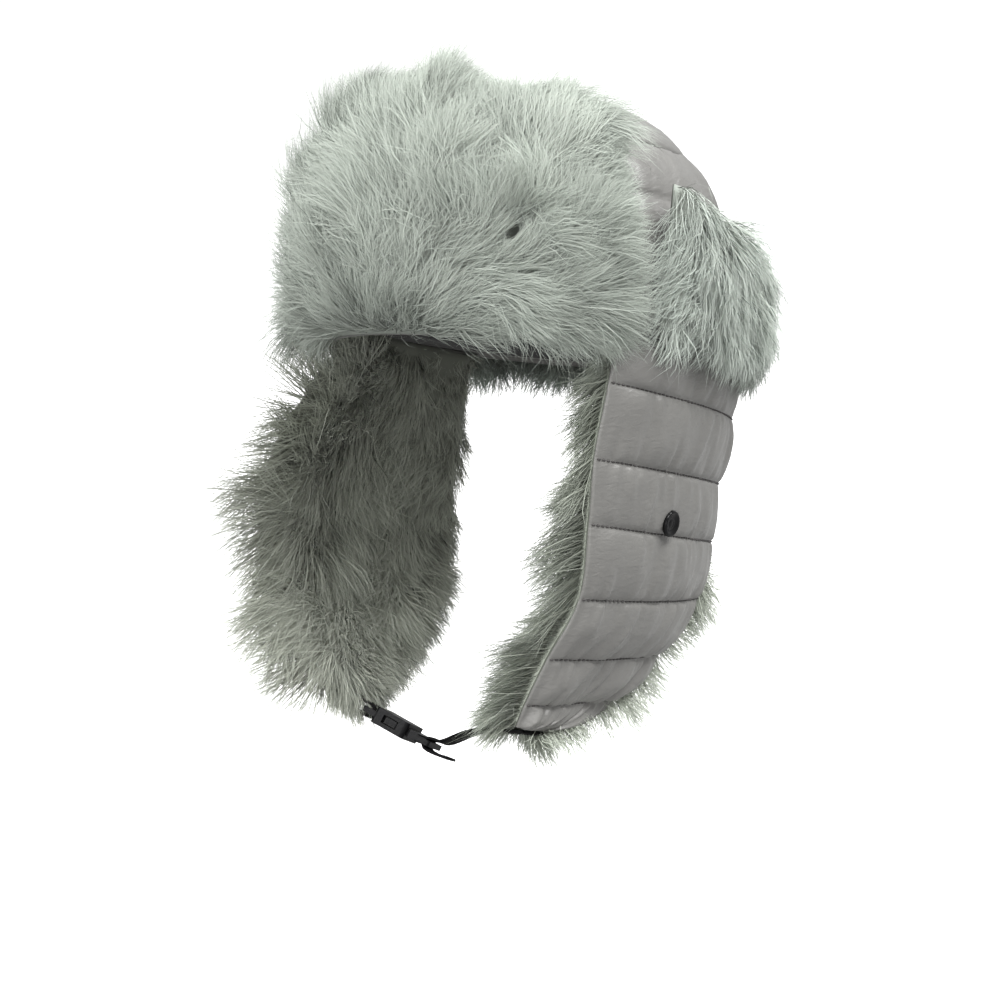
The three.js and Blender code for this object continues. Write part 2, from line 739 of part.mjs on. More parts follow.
// The fur at each flap's tip parts round the strap and the buckle.
const strapLeft = strapLeftPath(earLeft);
const strapRight = strapRightPath(earRight);
const leftWay = strapWay(strapLeft.slice(0, 4), tipEdge(earLeft, 1), WEBBING.width + 2 * GAP);
const rightWay = strapWay(
  [...strapRight.slice(0, 2), inBuckle(STRAP_WAY.socketFrom, 0), inBuckle(SOCKET.length, 0)],
  tipEdge(earRight, -1),
  SOCKET.width + 2 * STRAP_WAY.socketMargin,
);
const furLeft = toManifold(earFur(earLeft, EAR_FUR_LEFT)).subtract(leftWay);
const furRight = toManifold(mirrored(earFur(earRight, EAR_FUR_RIGHT))).subtract(rightWay);

const hat = new THREE.Group();
hat.add(
  crown,
  named("ear_flap_shell_left", earShell(earLeft), FINISH.nylon),
  named("ear_flap_shell_right", mirrored(earShell(earRight)), FINISH.nylon),
  named("ear_flap_fur_left", toGeometry(furLeft), FINISH.fur),
  named("ear_flap_fur_right", toGeometry(furRight), FINISH.fur),
  named("snap_cap_left", snapCap(earLeft), FINISH.plastic),
  named("snap_cap_right", mirrored(snapCap(earRight)), FINISH.plastic),
  named("strap_left", strap(strapLeft, tipEdge(earLeft, 1)), FINISH.webbing),
  named("strap_right", strap(strapRight, tipEdge(earRight, -1)), FINISH.webbing),
  named("buckle_socket", placedBuckle(buckleSocket()), FINISH.plastic),
  named("buckle_clip", placedBuckle(buckleClip()), FINISH.plastic),
);

export default hat;
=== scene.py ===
"""Aviator hat as it is worn: quilted nylon crown and ear flaps, long pile on the turned-up flaps and
inside the ear flaps, and a chin strap with a side-release buckle. Metres, in the frame of the solids:
+Z up, the wearer faces -Y and the wearer's left is +X."""
import logging
from abc import ABC, abstractmethod
from dataclasses import dataclass, field
from enum import Enum
from math import cos, pi, radians, sin

import bmesh
import bpy
import numpy as np
from mathutils import Matrix, Vector
from mathutils.kdtree import KDTree


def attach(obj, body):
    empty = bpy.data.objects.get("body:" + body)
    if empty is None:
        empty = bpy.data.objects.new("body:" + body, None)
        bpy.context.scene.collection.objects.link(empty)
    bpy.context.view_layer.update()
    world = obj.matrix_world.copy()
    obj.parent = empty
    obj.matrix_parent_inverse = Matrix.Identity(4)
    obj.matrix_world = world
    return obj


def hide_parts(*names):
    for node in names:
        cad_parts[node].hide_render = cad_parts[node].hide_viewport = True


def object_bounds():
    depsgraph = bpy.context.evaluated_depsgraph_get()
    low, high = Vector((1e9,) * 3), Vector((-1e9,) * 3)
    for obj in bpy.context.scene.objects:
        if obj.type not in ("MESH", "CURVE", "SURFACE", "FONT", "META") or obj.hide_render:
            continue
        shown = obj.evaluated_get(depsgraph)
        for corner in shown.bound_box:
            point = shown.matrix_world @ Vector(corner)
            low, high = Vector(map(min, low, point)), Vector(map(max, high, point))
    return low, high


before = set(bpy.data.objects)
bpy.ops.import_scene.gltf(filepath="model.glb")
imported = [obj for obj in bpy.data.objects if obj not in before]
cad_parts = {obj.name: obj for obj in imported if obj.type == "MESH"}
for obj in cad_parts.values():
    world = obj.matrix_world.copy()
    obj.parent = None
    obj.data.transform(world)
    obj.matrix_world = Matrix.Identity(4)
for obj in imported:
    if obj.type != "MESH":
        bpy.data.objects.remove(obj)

CAD_LOW, CAD_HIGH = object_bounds()
LOG = logging.getLogger("aviator_hat")

Array = np.ndarray
Pair = tuple[float, float]
Triple = tuple[float, float, float]
Piece = bpy.types.Object
Material = bpy.types.Material
Node = bpy.types.Node
Socket = bpy.types.NodeSocket
Tree = bpy.types.NodeTree
MILLIMETRE = 0.001
BODY = "root"
LATTICE_SIDE = 128
OUT_STEP = 0.001


# Small sums on arrays of points


def unit(vectors: Array) -> Array:
    """Scale each vector of an array to length one."""
    return vectors / np.maximum(np.linalg.norm(vectors, axis=-1, keepdims=True), 1e-12)


def eased(share: Array) -> Array:
    """Turn a share from 0 to 1 into one that starts and ends gently."""
    held = np.clip(share, 0.0, 1.0)
    return held * held * (3.0 - 2.0 * held)


def pillow(share: Array, power: float = 0.5) -> Array:
    """Height of padding between two seams, 0 at each seam and 1 in the middle."""
    return np.maximum(0.0, 4.0 * share * (1.0 - share)) ** power


def spline(table: Array, share: Array) -> Array:
    """Smooth curve through the rows of a table.

    Args:
        table: Rows of numbers that the curve passes through.
        share: Places along the curve, from 0 at the first row to 1 at the last.

    Returns:
        One row of numbers for each place.
    """
    count = len(table)
    place = np.clip(share, 0.0, 1.0) * (count - 1)
    start = np.minimum(place.astype(int), count - 2)
    padded = np.vstack([2 * table[0] - table[1], table, 2 * table[-1] - table[-2]])
    before, near, far, after = (padded[start + step] for step in range(4))
    weight = (place - start)[:, None]
    slope_near = (far - near + near - before) / 2
    slope_far = (after - far + far - near) / 2
    cubic = 2 * near - 2 * far + slope_near + slope_far
    square = -3 * near + 3 * far - 2 * slope_near - slope_far
    return cubic * weight**3 + square * weight**2 + slope_near * weight + near


@dataclass(frozen=True)
class Unevenness:
    """Smooth random values over a plane, the same each time for a seed.

    Attributes:
        seed: Chooses the pattern.
        cell_x: Size of one bump in the first direction.
        cell_y: Size of one bump in the second direction.
    """

    seed: int
    cell_x: float
    cell_y: float

    def at(self, x: Array, y: Array) -> Array:
        """Values from -1 to 1 at places of the plane.

        Args:
            x: First coordinates.
            y: Second coordinates.

        Returns:
            One value for each place.
        """
        side = LATTICE_SIDE
        lattice = np.random.default_rng(self.seed).uniform(-1.0, 1.0, (side, side))
        column, row = np.floor(x / self.cell_x), np.floor(y / self.cell_y)
        right, up = eased(x / self.cell_x - column), eased(y / self.cell_y - row)
        i, j = column.astype(int) % side, row.astype(int) % side
        next_i, next_j = (i + 1) % side, (j + 1) % side
        low = lattice[i, j] * (1 - right) + lattice[next_i, j] * right
        high = lattice[i, next_j] * (1 - right) + lattice[next_i, next_j] * right
        return low * (1 - up) + high * up


# Meshes from arrays


@dataclass
class Faces:
    """Points and polygons that are gathered into one mesh.

    Attributes:
        points: Arrays of points gathered so far.
        normals: For each array of points, how it is shaded, or zeros for its own shape.
        corners: Arrays of polygons, each row the indices of one polygon.
        places: For each array of polygons, the two map values of every corner.
        finishes: For each array of polygons, its material slot.
        count: How many points there are so far.
    """

    points: list[Array] = field(default_factory=list)
    normals: list[Array] = field(default_factory=list)
    corners: list[Array] = field(default_factory=list)
    places: list[Array] = field(default_factory=list)
    finishes: list[int] = field(default_factory=list)
    count: int = 0

    def add_points(self, points: Array, normals: Array | None = None) -> int:
        """Add points.

        Args:
            points: Points in rows, or in a grid of any shape.
            normals: Shading normals of the points, where they have their own.

        Returns:
            The index of the first point.
        """
        first = self.count
        self.points.append(points.reshape(-1, 3))
        self.count += len(self.points[-1])
        self.normals.append(np.zeros_like(self.points[-1]) if normals is None else normals.reshape(-1, 3))
        return first

    def add_polygons(self, corners: Array, places: Array, finish: int = 0) -> None:
        """Add polygons that all have the same number of corners.

        Args:
            corners: Indices of each polygon's corners.
            places: Map values of each corner.
            finish: Material slot of the polygons.
        """
        self.corners.append(corners)
        self.places.append(places)
        self.finishes.append(finish)

    def add_grid(
        self, grid: Array, u: Array, v: Array, flip: bool, closed: bool = False, finish: int = 0
    ) -> Array:
        """Add a grid of points with its quads.

        Args:
            grid: Points as rows by columns by three.
            u: First map value of each point.
            v: Second map value of each point.
            flip: Whether the faces look the other way.
            closed: Whether the last column joins the first.
            finish: Material slot of the faces.

        Returns:
            The index of each point, as rows by columns.
        """
        rows, columns = grid.shape[:2]
        index = self.add_points(grid) + np.arange(rows * columns).reshape(rows, columns)
        wrapped = np.hstack([index, index[:, :1]]) if closed else index
        quads = np.stack([wrapped[:-1, :-1], wrapped[:-1, 1:], wrapped[1:, 1:], wrapped[1:, :-1]], -1)
        quads = quads.reshape(-1, 4)
        if flip:
            quads = quads[:, ::-1]
        local = quads - index[0, 0]
        places = np.stack([u.reshape(-1)[local], v.reshape(-1)[local]], -1)
        self.add_polygons(quads, places, finish)
        return index

    def add_edge(self, fine: Array, coarse: Array, flip: bool = False) -> None:
        """Join a fine row of points with a coarse one that has every few of its places.

        Args:
            fine: Indices of the fine row.
            coarse: Indices of the coarse row.
            flip: Whether the faces look the other way.
        """
        skip = (len(fine) - 1) // (len(coarse) - 1)
        starts = np.arange(len(coarse) - 1)
        reached = fine[starts[:, None] * skip + np.arange(skip + 1)]
        rings = np.hstack([reached, coarse[1:, None], coarse[:-1, None]])
        self.add_polygons(rings[:, ::-1] if flip else rings, np.zeros((*rings.shape, 2)))

    def add_solid(
        self, outer: Array, inner: Array, u: Array, v: Array, closed: bool = False, skip: int = 1
    ) -> None:
        """Add a closed solid between two grids of the same shape.

        Args:
            outer: Outer grid, rows by columns by three.
            inner: Inner grid.
            u: First map value of each point.
            v: Second map value of each point.
            closed: Whether the rows are rings.
            skip: The inner face has one row and column in this many.
        """
        out = self.add_grid(outer, u, v, False, closed)
        inside = inner[::skip, ::skip], u[::skip, ::skip], v[::skip, ::skip]
        back = self.add_grid(*inside, True, closed, finish=1)
        if closed:
            out, back = np.hstack([out, out[:, :1]]), np.hstack([back, back[:, :1]])
        self.add_edge(out[0], back[0], flip=True)
        self.add_edge(out[-1], back[-1])
        if not closed:
            self.add_edge(out[:, 0], back[:, 0])
            self.add_edge(out[:, -1], back[:, -1], flip=True)

    def piece(self, name: str, materials: list[Material]) -> Piece:
        """Make one object of all that was gathered.

        Args:
            name: Name of the piece.
            materials: Its material slots.

        Returns:
            The piece, linked to the scene.
        """
        mesh = bpy.data.meshes.new(name)
        points = np.vstack(self.points)
        mesh.vertices.add(len(points))
        mesh.vertices.foreach_set("co", points.ravel())
        sizes = np.concatenate([np.full(len(c), c.shape[1]) for c in self.corners])
        mesh.loops.add(int(sizes.sum()))
        mesh.loops.foreach_set("vertex_index", np.concatenate([c.ravel() for c in self.corners]))
        mesh.polygons.add(len(sizes))
        mesh.polygons.foreach_set("loop_start", np.concatenate([[0], np.cumsum(sizes)[:-1]]))
        mesh.polygons.foreach_set("loop_total", sizes)
        slots = np.concatenate([np.full(len(c), f) for c, f in zip(self.corners, self.finishes)])
        mesh.polygons.foreach_set("material_index", np.minimum(slots, len(materials) - 1))
        mesh.polygons.foreach_set("use_smooth", np.full(len(sizes), True))
        layer = mesh.uv_layers.new(name="OFBake")
        layer.data.foreach_set("uv", np.concatenate([p.reshape(-1, 2) for p in self.places]).ravel())
        mesh.update(calc_edges=True)
        mesh.validate()
        normals = np.vstack(self.normals)
        if normals.any():
            mesh.normals_split_custom_set_from_vertices(normals)
        made = bpy.data.objects.new(name, mesh)
        bpy.context.scene.collection.objects.link(made)
        for material in materials:
            mesh.materials.append(material)
        return made


def weld(piece: Piece) -> None:
    """Join points that lie together and turn all faces outwards.

    Args:
        piece: The piece, whose mesh is changed.
    """
    edit = bmesh.new()
    edit.from_mesh(piece.data)
    bmesh.ops.remove_doubles(edit, verts=edit.verts, dist=1e-6)
    bmesh.ops.recalc_face_normals(edit, faces=edit.faces)
    edit.to_mesh(piece.data)
    edit.free()


def declare(piece: Piece, node: str = "") -> Piece:
    """Attach a piece to the body that it rides on, and hide the solid that it stands for.

    Args:
        piece: The piece.
        node: The solid that it stands for, if any.

    Returns:
        The piece.
    """
    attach(piece, BODY)
    if node:
        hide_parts(node)
    return piece


# The hat's surfaces, each as a function of two shares and a distance out


@dataclass(frozen=True)
class Dome:
    """The crown's dome, and the way that the hat sits on the head."""

    half_width: float = 0.082
    half_depth: float = 0.101
    height: float = 0.110
    wall: float = 0.005
    squareness: float = 2.4
    tilt: float = radians(17)
    roll: float = radians(4)
    turn: float = radians(5)
    walk_steps: int = 400

    def point(self, turn: Array, climb: Array, grow: Array) -> Array:
        """Points of the dome in the crown's own frame.

        Args:
            turn: Angle round the crown from its front.
            climb: 0 at the rim and a right angle at the top.
            grow: Distance out from the dome's inside.

        Returns:
            One point for each place.
        """
        power = 2.0 / self.squareness
        ring = np.maximum(0.0, np.cos(climb)) ** power
        rise = np.maximum(0.0, np.sin(climb)) ** power
        return np.stack(
            [
                (self.half_width + grow) * ring * np.sin(turn),
                -(self.half_depth + grow) * ring * np.cos(turn),
                (self.height + grow) * rise,
            ],
            -1,
        )

    def climb_at(self, length: Array) -> Array:
        """The climb at which the dome's side is a stated length up from the rim.

        Args:
            length: Lengths walked up the side.

        Returns:
            The climb of each, from 0 to a right angle.
        """
        climbs = np.linspace(0.0, pi / 2, self.walk_steps + 1)
        walked = self.point(np.full_like(climbs, pi / 4), climbs, np.full_like(climbs, self.wall))
        steps = np.linalg.norm(np.diff(walked, axis=0), axis=1)
        return np.interp(length, np.concatenate([[0.0], np.cumsum(steps)]), climbs)

    def to_world(self, points: Array) -> Array:
        """Turn points from the crown's own frame into the hat's.

        Args:
            points: Points in the crown's frame, in the last axis.

        Returns:
            The same points in the hat's frame.
        """
        tipped = Matrix.Rotation(-self.tilt, 3, "X") @ Matrix.Rotation(-self.roll, 3, "Y")
        turned = tipped @ Matrix.Rotation(-self.turn, 3, "Z")
        return points @ np.array(turned).T


DOME = Dome()


class Panel(ABC):
    """A curved panel: across from -1 to 1, along from 0 to 1, and out from its face in metres."""

    half_span: float
    length: float

    @abstractmethod
    def place(self, across: Array, along: Array, out: Array) -> Array:
        """Points at these shares and distance out."""

    def metres(self, across: Array, along: Array) -> tuple[Array, Array]:
        """The two shares as lengths."""
        return across * self.half_span, along * self.length

    def away(self, across: Array, along: Array) -> Array:
        """Unit vectors out of the panel's face."""
        return unit(self.place(across, along, OUT_STEP) - self.place(across, along, 0.0))


@dataclass(frozen=True)
class TurnedUpPanel(Panel):
    """A flap's place when it is turned up outside the crown.

    Attributes:
        half_turn: Angle round the crown from the flap's middle to its end.
        fold: Height of its fold over the rim's level.
        end_rise: How much higher the fold is at an end.
        height: Height from the fold to the free edge.
        stand: Distance out from the dome's inside.
    """

    half_turn: float
    fold: float
    end_rise: float
    height: float
    stand: float = 0.0076

    @property
    def half_span(self) -> float:
        """Half of the panel's width round the crown."""
        return self.half_turn * (DOME.half_depth + self.stand)

    @property
    def length(self) -> float:
        """Height from the fold to the free edge."""
        return self.height

    def beside_crown(self, turn: Array, stand: Array, level: Array) -> Array:
        """Points outside the crown.

        Args:
            turn: Angle round the crown from its front.
            stand: Distance out from the dome's inside.
            level: Height over the rim's level.

        Returns:
            One point for each place, in the hat's frame.
        """
        across, back = (DOME.half_width + stand) * np.sin(turn), -(DOME.half_depth + stand) * np.cos(turn)
        return DOME.to_world(np.stack([across, back, level], -1))


@dataclass(frozen=True)
class FrontPanel(TurnedUpPanel):
    """The front flap's place: a belly low down, rounded corners, and a top that leans to the crown."""

    half_turn: float = radians(52)
    fold: float = -0.009
    end_rise: float = 0.009
    height: float = 0.111
    belly: float = 0.005
    belly_from: float = 0.2
    lean: float = 0.016
    corner: float = 0.52
    corner_from: float = 0.5

    def place(self, across: Array, along: Array, out: Array) -> Array:
        """Points of the front flap.

        Args:
            across: Shares across it.
            along: Shares up it.
            out: Distance out of its face.

        Returns:
            One point for each place.
        """
        bend = np.clip((along - self.corner_from) / (1 - self.corner_from), 0, 1)
        half_turn = self.half_turn * (1 - self.corner * (1 - np.sqrt(1 - bend * bend)))
        swell = np.clip((along - self.belly_from) / self.belly_from, 0, 1)
        stand = self.stand + self.belly * swell - self.lean * np.maximum(0, along) ** 3 + out
        rise = self.end_rise * np.clip(across, 0, 1) ** 2 * (1 - along)
        return self.beside_crown(across * half_turn, stand, self.fold + rise + along * self.height)


@dataclass(frozen=True)
class BackPanel(TurnedUpPanel):
    """The back flap's place, from ear to ear round the back of the crown."""

    half_turn: float = radians(108)
    fold: float = -0.002
    end_rise: float = 0.007
    height: float = 0.064
    back_drop: float = 0.030
    flare: float = 0.002

    def place(self, across: Array, along: Array, out: Array) -> Array:
        """Points of the back flap.

        Args:
            across: Shares across it.
            along: Shares up it.
            out: Distance out of its face.

        Returns:
            One point for each place.
        """
        end = np.minimum(1, across * across)
        height = self.height - self.back_drop * (1 - end)
        stand = self.stand + self.flare * along + out
        level = self.fold + self.end_rise * end * end + along * height
        return self.beside_crown(pi + across * self.half_turn, stand, level)


class Side(Enum):
    """The wearer's left or right, as the sign of x."""

    LEFT = 1
    RIGHT = -1

    @property
    def word(self) -> str:
        """The side's name in lower case."""
        return self.name.lower()


@dataclass(frozen=True)
class Seam:
    """One seam across an ear flap, in millimetres.

    Attributes:
        front: Its front end.
        back: Its back end.
        bulge: How far its middle stands out of the straight line between them.
    """

    front: Triple
    back: Triple
    bulge: float


LEFT_SEAMS = (
    Seam((71, -70, 2), (77, 54, -41), 14),
    Seam((68, -78, -32), (72, 51, -73), 13),
    Seam((67, -81, -62), (71, 46, -101), 12),
    Seam((64, -84, -97), (69, 36, -127), 10),
    Seam((52, -92, -125), (61, 10, -149), 8),
    Seam((43, -97, -147), (52, -22, -163), 5),
    Seam((39, -98, -158), (44, -79, -165), 0),
)
RIGHT_SEAMS = (
    Seam((79, -57, -3), (74, 58, -38), 12),
    Seam((97, -70, -32), (75, 54, -66), 12),
    Seam((107, -79, -63), (76, 48, -93), 12),
    Seam((106, -86, -97), (74, 37, -118), 11),
    Seam((95, -92, -126), (70, 9, -140), 8),
    Seam((75, -94, -146), (62, -22, -155), 5),
    Seam((54, -97, -158), (56, -79, -163), 0),
)
LEFT_TURNS = (radians(58), radians(129))
RIGHT_TURNS = (radians(54), radians(124))
RIM_GAP = 0.0004
EDGE_STEP = 0.01


@dataclass(frozen=True)
class EarPanel(Panel):
    """An ear flap's outer face: across from its front edge to its back edge, along from rim to tip."""

    side: Side
    half_span: float = 0.060
    length: float = 0.175
    edge_wall: float = 0.2
    edge_taper: float = 0.15

    @property
    def seams(self) -> tuple[Seam, ...]:
        """The flap's seams below the rim."""
        return LEFT_SEAMS if self.side is Side.LEFT else RIGHT_SEAMS

    @property
    def mirror(self) -> Array:
        """Factors that bring points to the flap's own side."""
        return np.array([self.side.value, 1, 1])

    def fullness(self, across: Array) -> Array:
        """Share of its full thickness that the flap has, less at its side edges."""
        return self.edge_wall + (1 - self.edge_wall) * eased((1 - np.abs(across)) / self.edge_taper)

    def table(self) -> Array:
        """Sections of the flap in the unmirrored frame.

        Returns:
            Front end, back end and bulge of each seam in a row, the rim first.
        """
        turns = LEFT_TURNS if self.side is Side.LEFT else RIGHT_TURNS
        angles = self.side.value * np.array([turns[0], (turns[0] + turns[1]) / 2, turns[1]])
        local = DOME.point(angles, np.zeros(3), np.full(3, DOME.wall))
        local[:, 2] = -RIM_GAP
        front, middle, back = DOME.to_world(local) * self.mirror
        bulge = np.linalg.norm(middle - (front + back) / 2)
        rows = [np.array([*seam.front, *seam.back, seam.bulge]) * MILLIMETRE for seam in self.seams]
        return np.vstack([[*front, *back, bulge], *rows])

    def held(self, across: Array, along: Array) -> Array:
        """Points inside the flap's edges, in the unmirrored frame.

        Args:
            across: Shares from the front edge to the back edge.
            along: Shares from rim to tip.

        Returns:
            One point for each place.
        """
        row = spline(self.table(), along)
        front, back, bulge = row[:, :3], row[:, 3:6], row[:, 6:]
        span = back - front
        out = unit(np.stack([span[:, 1], -span[:, 0], np.zeros(len(span))], -1))
        share = across[:, None]
        return front + span * (share + 1) / 2 + out * bulge * (1 - share * share)

    def face(self, across: Array, along: Array) -> Array:
        """Points of the flap's face, carried on past its side edges.

        Args:
            across: Shares across, which may lie past an edge.
            along: Shares from rim to tip.

        Returns:
            One point for each place, in the unmirrored frame.
        """
        side = np.clip(across, -1, 1)
        place = self.held(side, along)
        beyond = unit(place - self.held(side * (1 - EDGE_STEP), along))
        return place + beyond * (np.abs(across - side) * self.half_span)[:, None]

    def outward(self, across: Array, along: Array) -> Array:
        """Directions out of the face.

        Args:
            across: Shares across.
            along: Shares from rim to tip.

        Returns:
            One unit vector for each place, in the unmirrored frame.
        """
        most = 1 - EDGE_STEP
        side, down = np.clip(across, -most, most), np.clip(along, EDGE_STEP, most)
        over = self.face(side + EDGE_STEP, down) - self.face(side - EDGE_STEP, down)
        fall = self.face(side, down + EDGE_STEP) - self.face(side, down - EDGE_STEP)
        return unit(np.cross(fall, over))

    def place(self, across: Array, along: Array, out: Array) -> Array:
        """Points of the ear flap.

        Args:
            across: Shares from the front edge to the back edge.
            along: Shares from rim to tip.
            out: Distance out of the face.

        Returns:
            One point for each place.
        """
        across, along, out = np.broadcast_arrays(across, along, out)
        flat = [part.ravel() for part in (across, along, out)]
        points = self.face(flat[0], flat[1]) + self.outward(flat[0], flat[1]) * flat[2][:, None]
        return (points * self.mirror).reshape(*across.shape, 3)


@dataclass(frozen=True)
class Lining(Panel):
    """The inner face of an ear flap, whose out points at the cheek.

    Attributes:
        flap: The flap's outer face.
        wall: Distance from the outer face to the pile's backing.
    """

    flap: EarPanel
    wall: float = 0.0049

    @property
    def half_span(self) -> float:
        """Half of the flap's width."""
        return self.flap.half_span

    @property
    def length(self) -> float:
        """The flap's length."""
        return self.flap.length

    def place(self, across: Array, along: Array, out: Array) -> Array:
        """Points on and above the lining's backing."""
        return self.flap.place(across, along, -self.wall * self.flap.fullness(across) - out)


@dataclass(frozen=True)
class RaisedPanel(Panel):
    """A panel on top of another's shell, carried on past its ends.

    Attributes:
        base: The panel under it.
        by: How far it stands out from that one.
        carry: How far it is carried on past each end, as a share of half the width.
    """

    base: Panel
    by: float = 0.0029
    carry: float = 0.0

    @property
    def half_span(self) -> float:
        """Half of the width."""
        return self.base.half_span * (1 + self.carry)

    @property
    def length(self) -> float:
        """Length of the panel under it."""
        return self.base.length

    def place(self, across: Array, along: Array, out: Array) -> Array:
        """Points on and above the shell."""
        return self.base.place(across * (1 + self.carry), along, out + self.by)


# Finishes


Colour = Triple


def srgb(red: int, green: int, blue: int) -> Colour:
    """A screen colour as linear shares.

    Args:
        red: Red from 0 to 255.
        green: Green from 0 to 255.
        blue: Blue from 0 to 255.

    Returns:
        The three linear shares.
    """
    return tuple(
        part / 12.92 if part <= 0.04045 else ((part + 0.055) / 1.055) ** 2.4
        for part in (red / 255, green / 255, blue / 255)
    )


@dataclass
class Nodes:
    """A material's or a group's node tree, with short ways to add nodes and links."""

    tree: Tree

    def add(self, kind: str, **values: object) -> Node:
        """Add a node.

        Args:
            kind: The node's type without the words ShaderNode.
            values: Properties of the node, or values of its sockets by name with underscores.

        Returns:
            The node.
        """
        node = self.tree.nodes.new(f"ShaderNode{kind}")
        for name, value in values.items():
            socket = node.inputs.get(name.replace("_", " "))
            if socket is not None and not hasattr(type(node), name):
                socket.default_value = value
            else:
                setattr(node, name, value)
        return node

    def link(self, source: Socket, target: Socket) -> None:
        """Join two sockets."""
        self.tree.links.new(source, target)

    def sum(self, kind: str, first: object, second: object = None) -> Socket:
        """Add a Math node.

        Args:
            kind: Its operation.
            first: Its first socket or number.
            second: Its second socket or number.

        Returns:
            The node's output.
        """
        node = self.add("Math", operation=kind)
        for socket, value in zip(node.inputs, (first, second)):
            if isinstance(value, Socket):
                self.link(value, socket)
            elif value is not None:
                socket.default_value = value
        return node.outputs[0]

    def blend(self, share: object, first: object, second: object, kind: str = "MIX") -> Socket:
        """Add a colour Mix node.

        Args:
            share: Socket or number that says how much of the second colour shows.
            first: First colour or socket.
            second: Second colour or socket.
            kind: How the colours blend.

        Returns:
            The mixed colour.
        """
        node = self.add("Mix", data_type="RGBA", blend_type=kind)
        for name, value in (("Factor", share), ("A", first), ("B", second)):
            socket = next(s for s in node.inputs if s.name == name and s.enabled)
            if isinstance(value, Socket):
                self.link(value, socket)
            elif isinstance(value, tuple):
                socket.default_value = (*value, 1.0)
            else:
                socket.default_value = value
        return next(s for s in node.outputs if s.enabled)


def new_group(
    name: str, inputs: dict[str, float | Colour], outputs: dict[str, str]
) -> tuple[Nodes, bpy.types.NodeOutputs, bpy.types.NodeInputs]:
    """Start a shader node group.

    Args:
        name: The group's name.
        inputs: Its inputs, with a number or a colour for each.
        outputs: Its outputs, with the socket type of each.

    Returns:
        Its nodes, the sockets that carry its inputs and those that take its outputs.
    """
    group = bpy.data.node_groups.new(name, "ShaderNodeTree")
    for label, value in inputs.items():
        kind = "NodeSocketColor" if isinstance(value, tuple) else "NodeSocketFloat"
        socket = group.interface.new_socket(name=label, in_out="INPUT", socket_type=kind)
        socket.default_value = (*value, 1.0) if isinstance(value, tuple) else value
    for label, kind in outputs.items():
        group.interface.new_socket(name=label, in_out="OUTPUT", socket_type=kind)
    start, end = group.nodes.new("NodeGroupInput"), group.nodes.new("NodeGroupOutput")
    return Nodes(group), start.outputs, end.inputs


def grey_of(nodes: Nodes, level: Socket) -> Socket:
    """Turn one value into a grey colour.

    Args:
        nodes: The tree to add to.
        level: The value.

    Returns:
        The colour's socket.
    """
    grey = nodes.add("CombineXYZ")
    for socket in grey.inputs:
        nodes.link(level, socket)
    return grey.outputs[0]


def pile_group() -> Tree:
    """Colour of a hair from root to tip, with each hair's own tone and the combs' painted light and shade.

    Returns:
        The group, which reads the map whose first value runs along a hair.
    """
    nodes, given, made = new_group(
        "pile_colour",
        {"Root": (0.05, 0.05, 0.05), "Middle": (0.3, 0.3, 0.3), "Tip": (0.6, 0.6, 0.6), "Spread": 0.5},
        {"Colour": "NodeSocketColor"},
    )
    split = nodes.add("SeparateXYZ")
    nodes.link(nodes.add("UVMap", uv_map="OFBake").outputs[0], split.inputs[0])
    along, tone = split.outputs[0], split.outputs[1]
    low = nodes.add("MapRange", From_Min=0.0, From_Max=0.45)
    high = nodes.add("MapRange", From_Min=0.4, From_Max=1.0)
    nodes.link(along, low.inputs["Value"])
    nodes.link(along, high.inputs["Value"])
    base = nodes.blend(low.outputs[0], given["Root"], given["Middle"])
    whole = nodes.blend(high.outputs[0], base, given["Tip"])
    off = nodes.sum("MULTIPLY", nodes.sum("SUBTRACT", tone, 0.5), given["Spread"])
    grey = grey_of(nodes, nodes.sum("ADD", off, 1.0))
    nodes.link(nodes.blend(1.0, whole, grey, "MULTIPLY"), made["Colour"])
    return nodes.tree


def cloth_group() -> Tree:
    """Fine crinkle and slow changes of shade in cloth.

    Returns:
        The group, with a height for a Bump node and a shade around one.
    """
    nodes, given, made = new_group(
        "cloth_surface",
        {"Crinkle Scale": 260.0, "Patch Scale": 26.0, "Patch Depth": 0.12},
        {"Height": "NodeSocketFloat", "Shade": "NodeSocketColor"},
    )
    place = nodes.add("TexCoord").outputs["Object"]
    stretched = nodes.add("Mapping")
    stretched.inputs["Scale"].default_value = (1.0, 0.6, 1.8)
    nodes.link(place, stretched.inputs[0])
    crinkle = nodes.add("TexNoise", Detail=3.0, Roughness=0.55, Distortion=0.6)
    patch = nodes.add("TexNoise", Detail=4.0, Roughness=0.5)
    nodes.link(stretched.outputs[0], crinkle.inputs["Vector"])
    nodes.link(place, patch.inputs["Vector"])
    nodes.link(given["Crinkle Scale"], crinkle.inputs["Scale"])
    nodes.link(given["Patch Scale"], patch.inputs["Scale"])
    nodes.link(crinkle.outputs[0], made["Height"])
    off = nodes.sum("MULTIPLY", nodes.sum("SUBTRACT", patch.outputs[0], 0.5), given["Patch Depth"])
    level = nodes.sum("ADD", nodes.sum("MULTIPLY", off, 2.0), 1.0)
    nodes.link(grey_of(nodes, level), made["Shade"])
    return nodes.tree


@dataclass
class Groups:
    """The shader groups that several materials use, each built once."""

    pile: Tree = field(default_factory=pile_group)
    cloth: Tree = field(default_factory=cloth_group)


def start_material(name: str, **values: object) -> tuple[Material, Nodes, Node]:
    """Make a material with its own Principled shader.

    Args:
        name: The material's name.
        values: Values of the shader's sockets by name with underscores.

    Returns:
        The material, its nodes and its shader.
    """
    material = bpy.data.materials.new(name)
    material.use_nodes = True
    nodes = Nodes(material.node_tree)
    shader = next(node for node in material.node_tree.nodes if node.type == "BSDF_PRINCIPLED")
    for label, value in values.items():
        shader.inputs[label.replace("_", " ")].default_value = value
    return material, nodes, shader


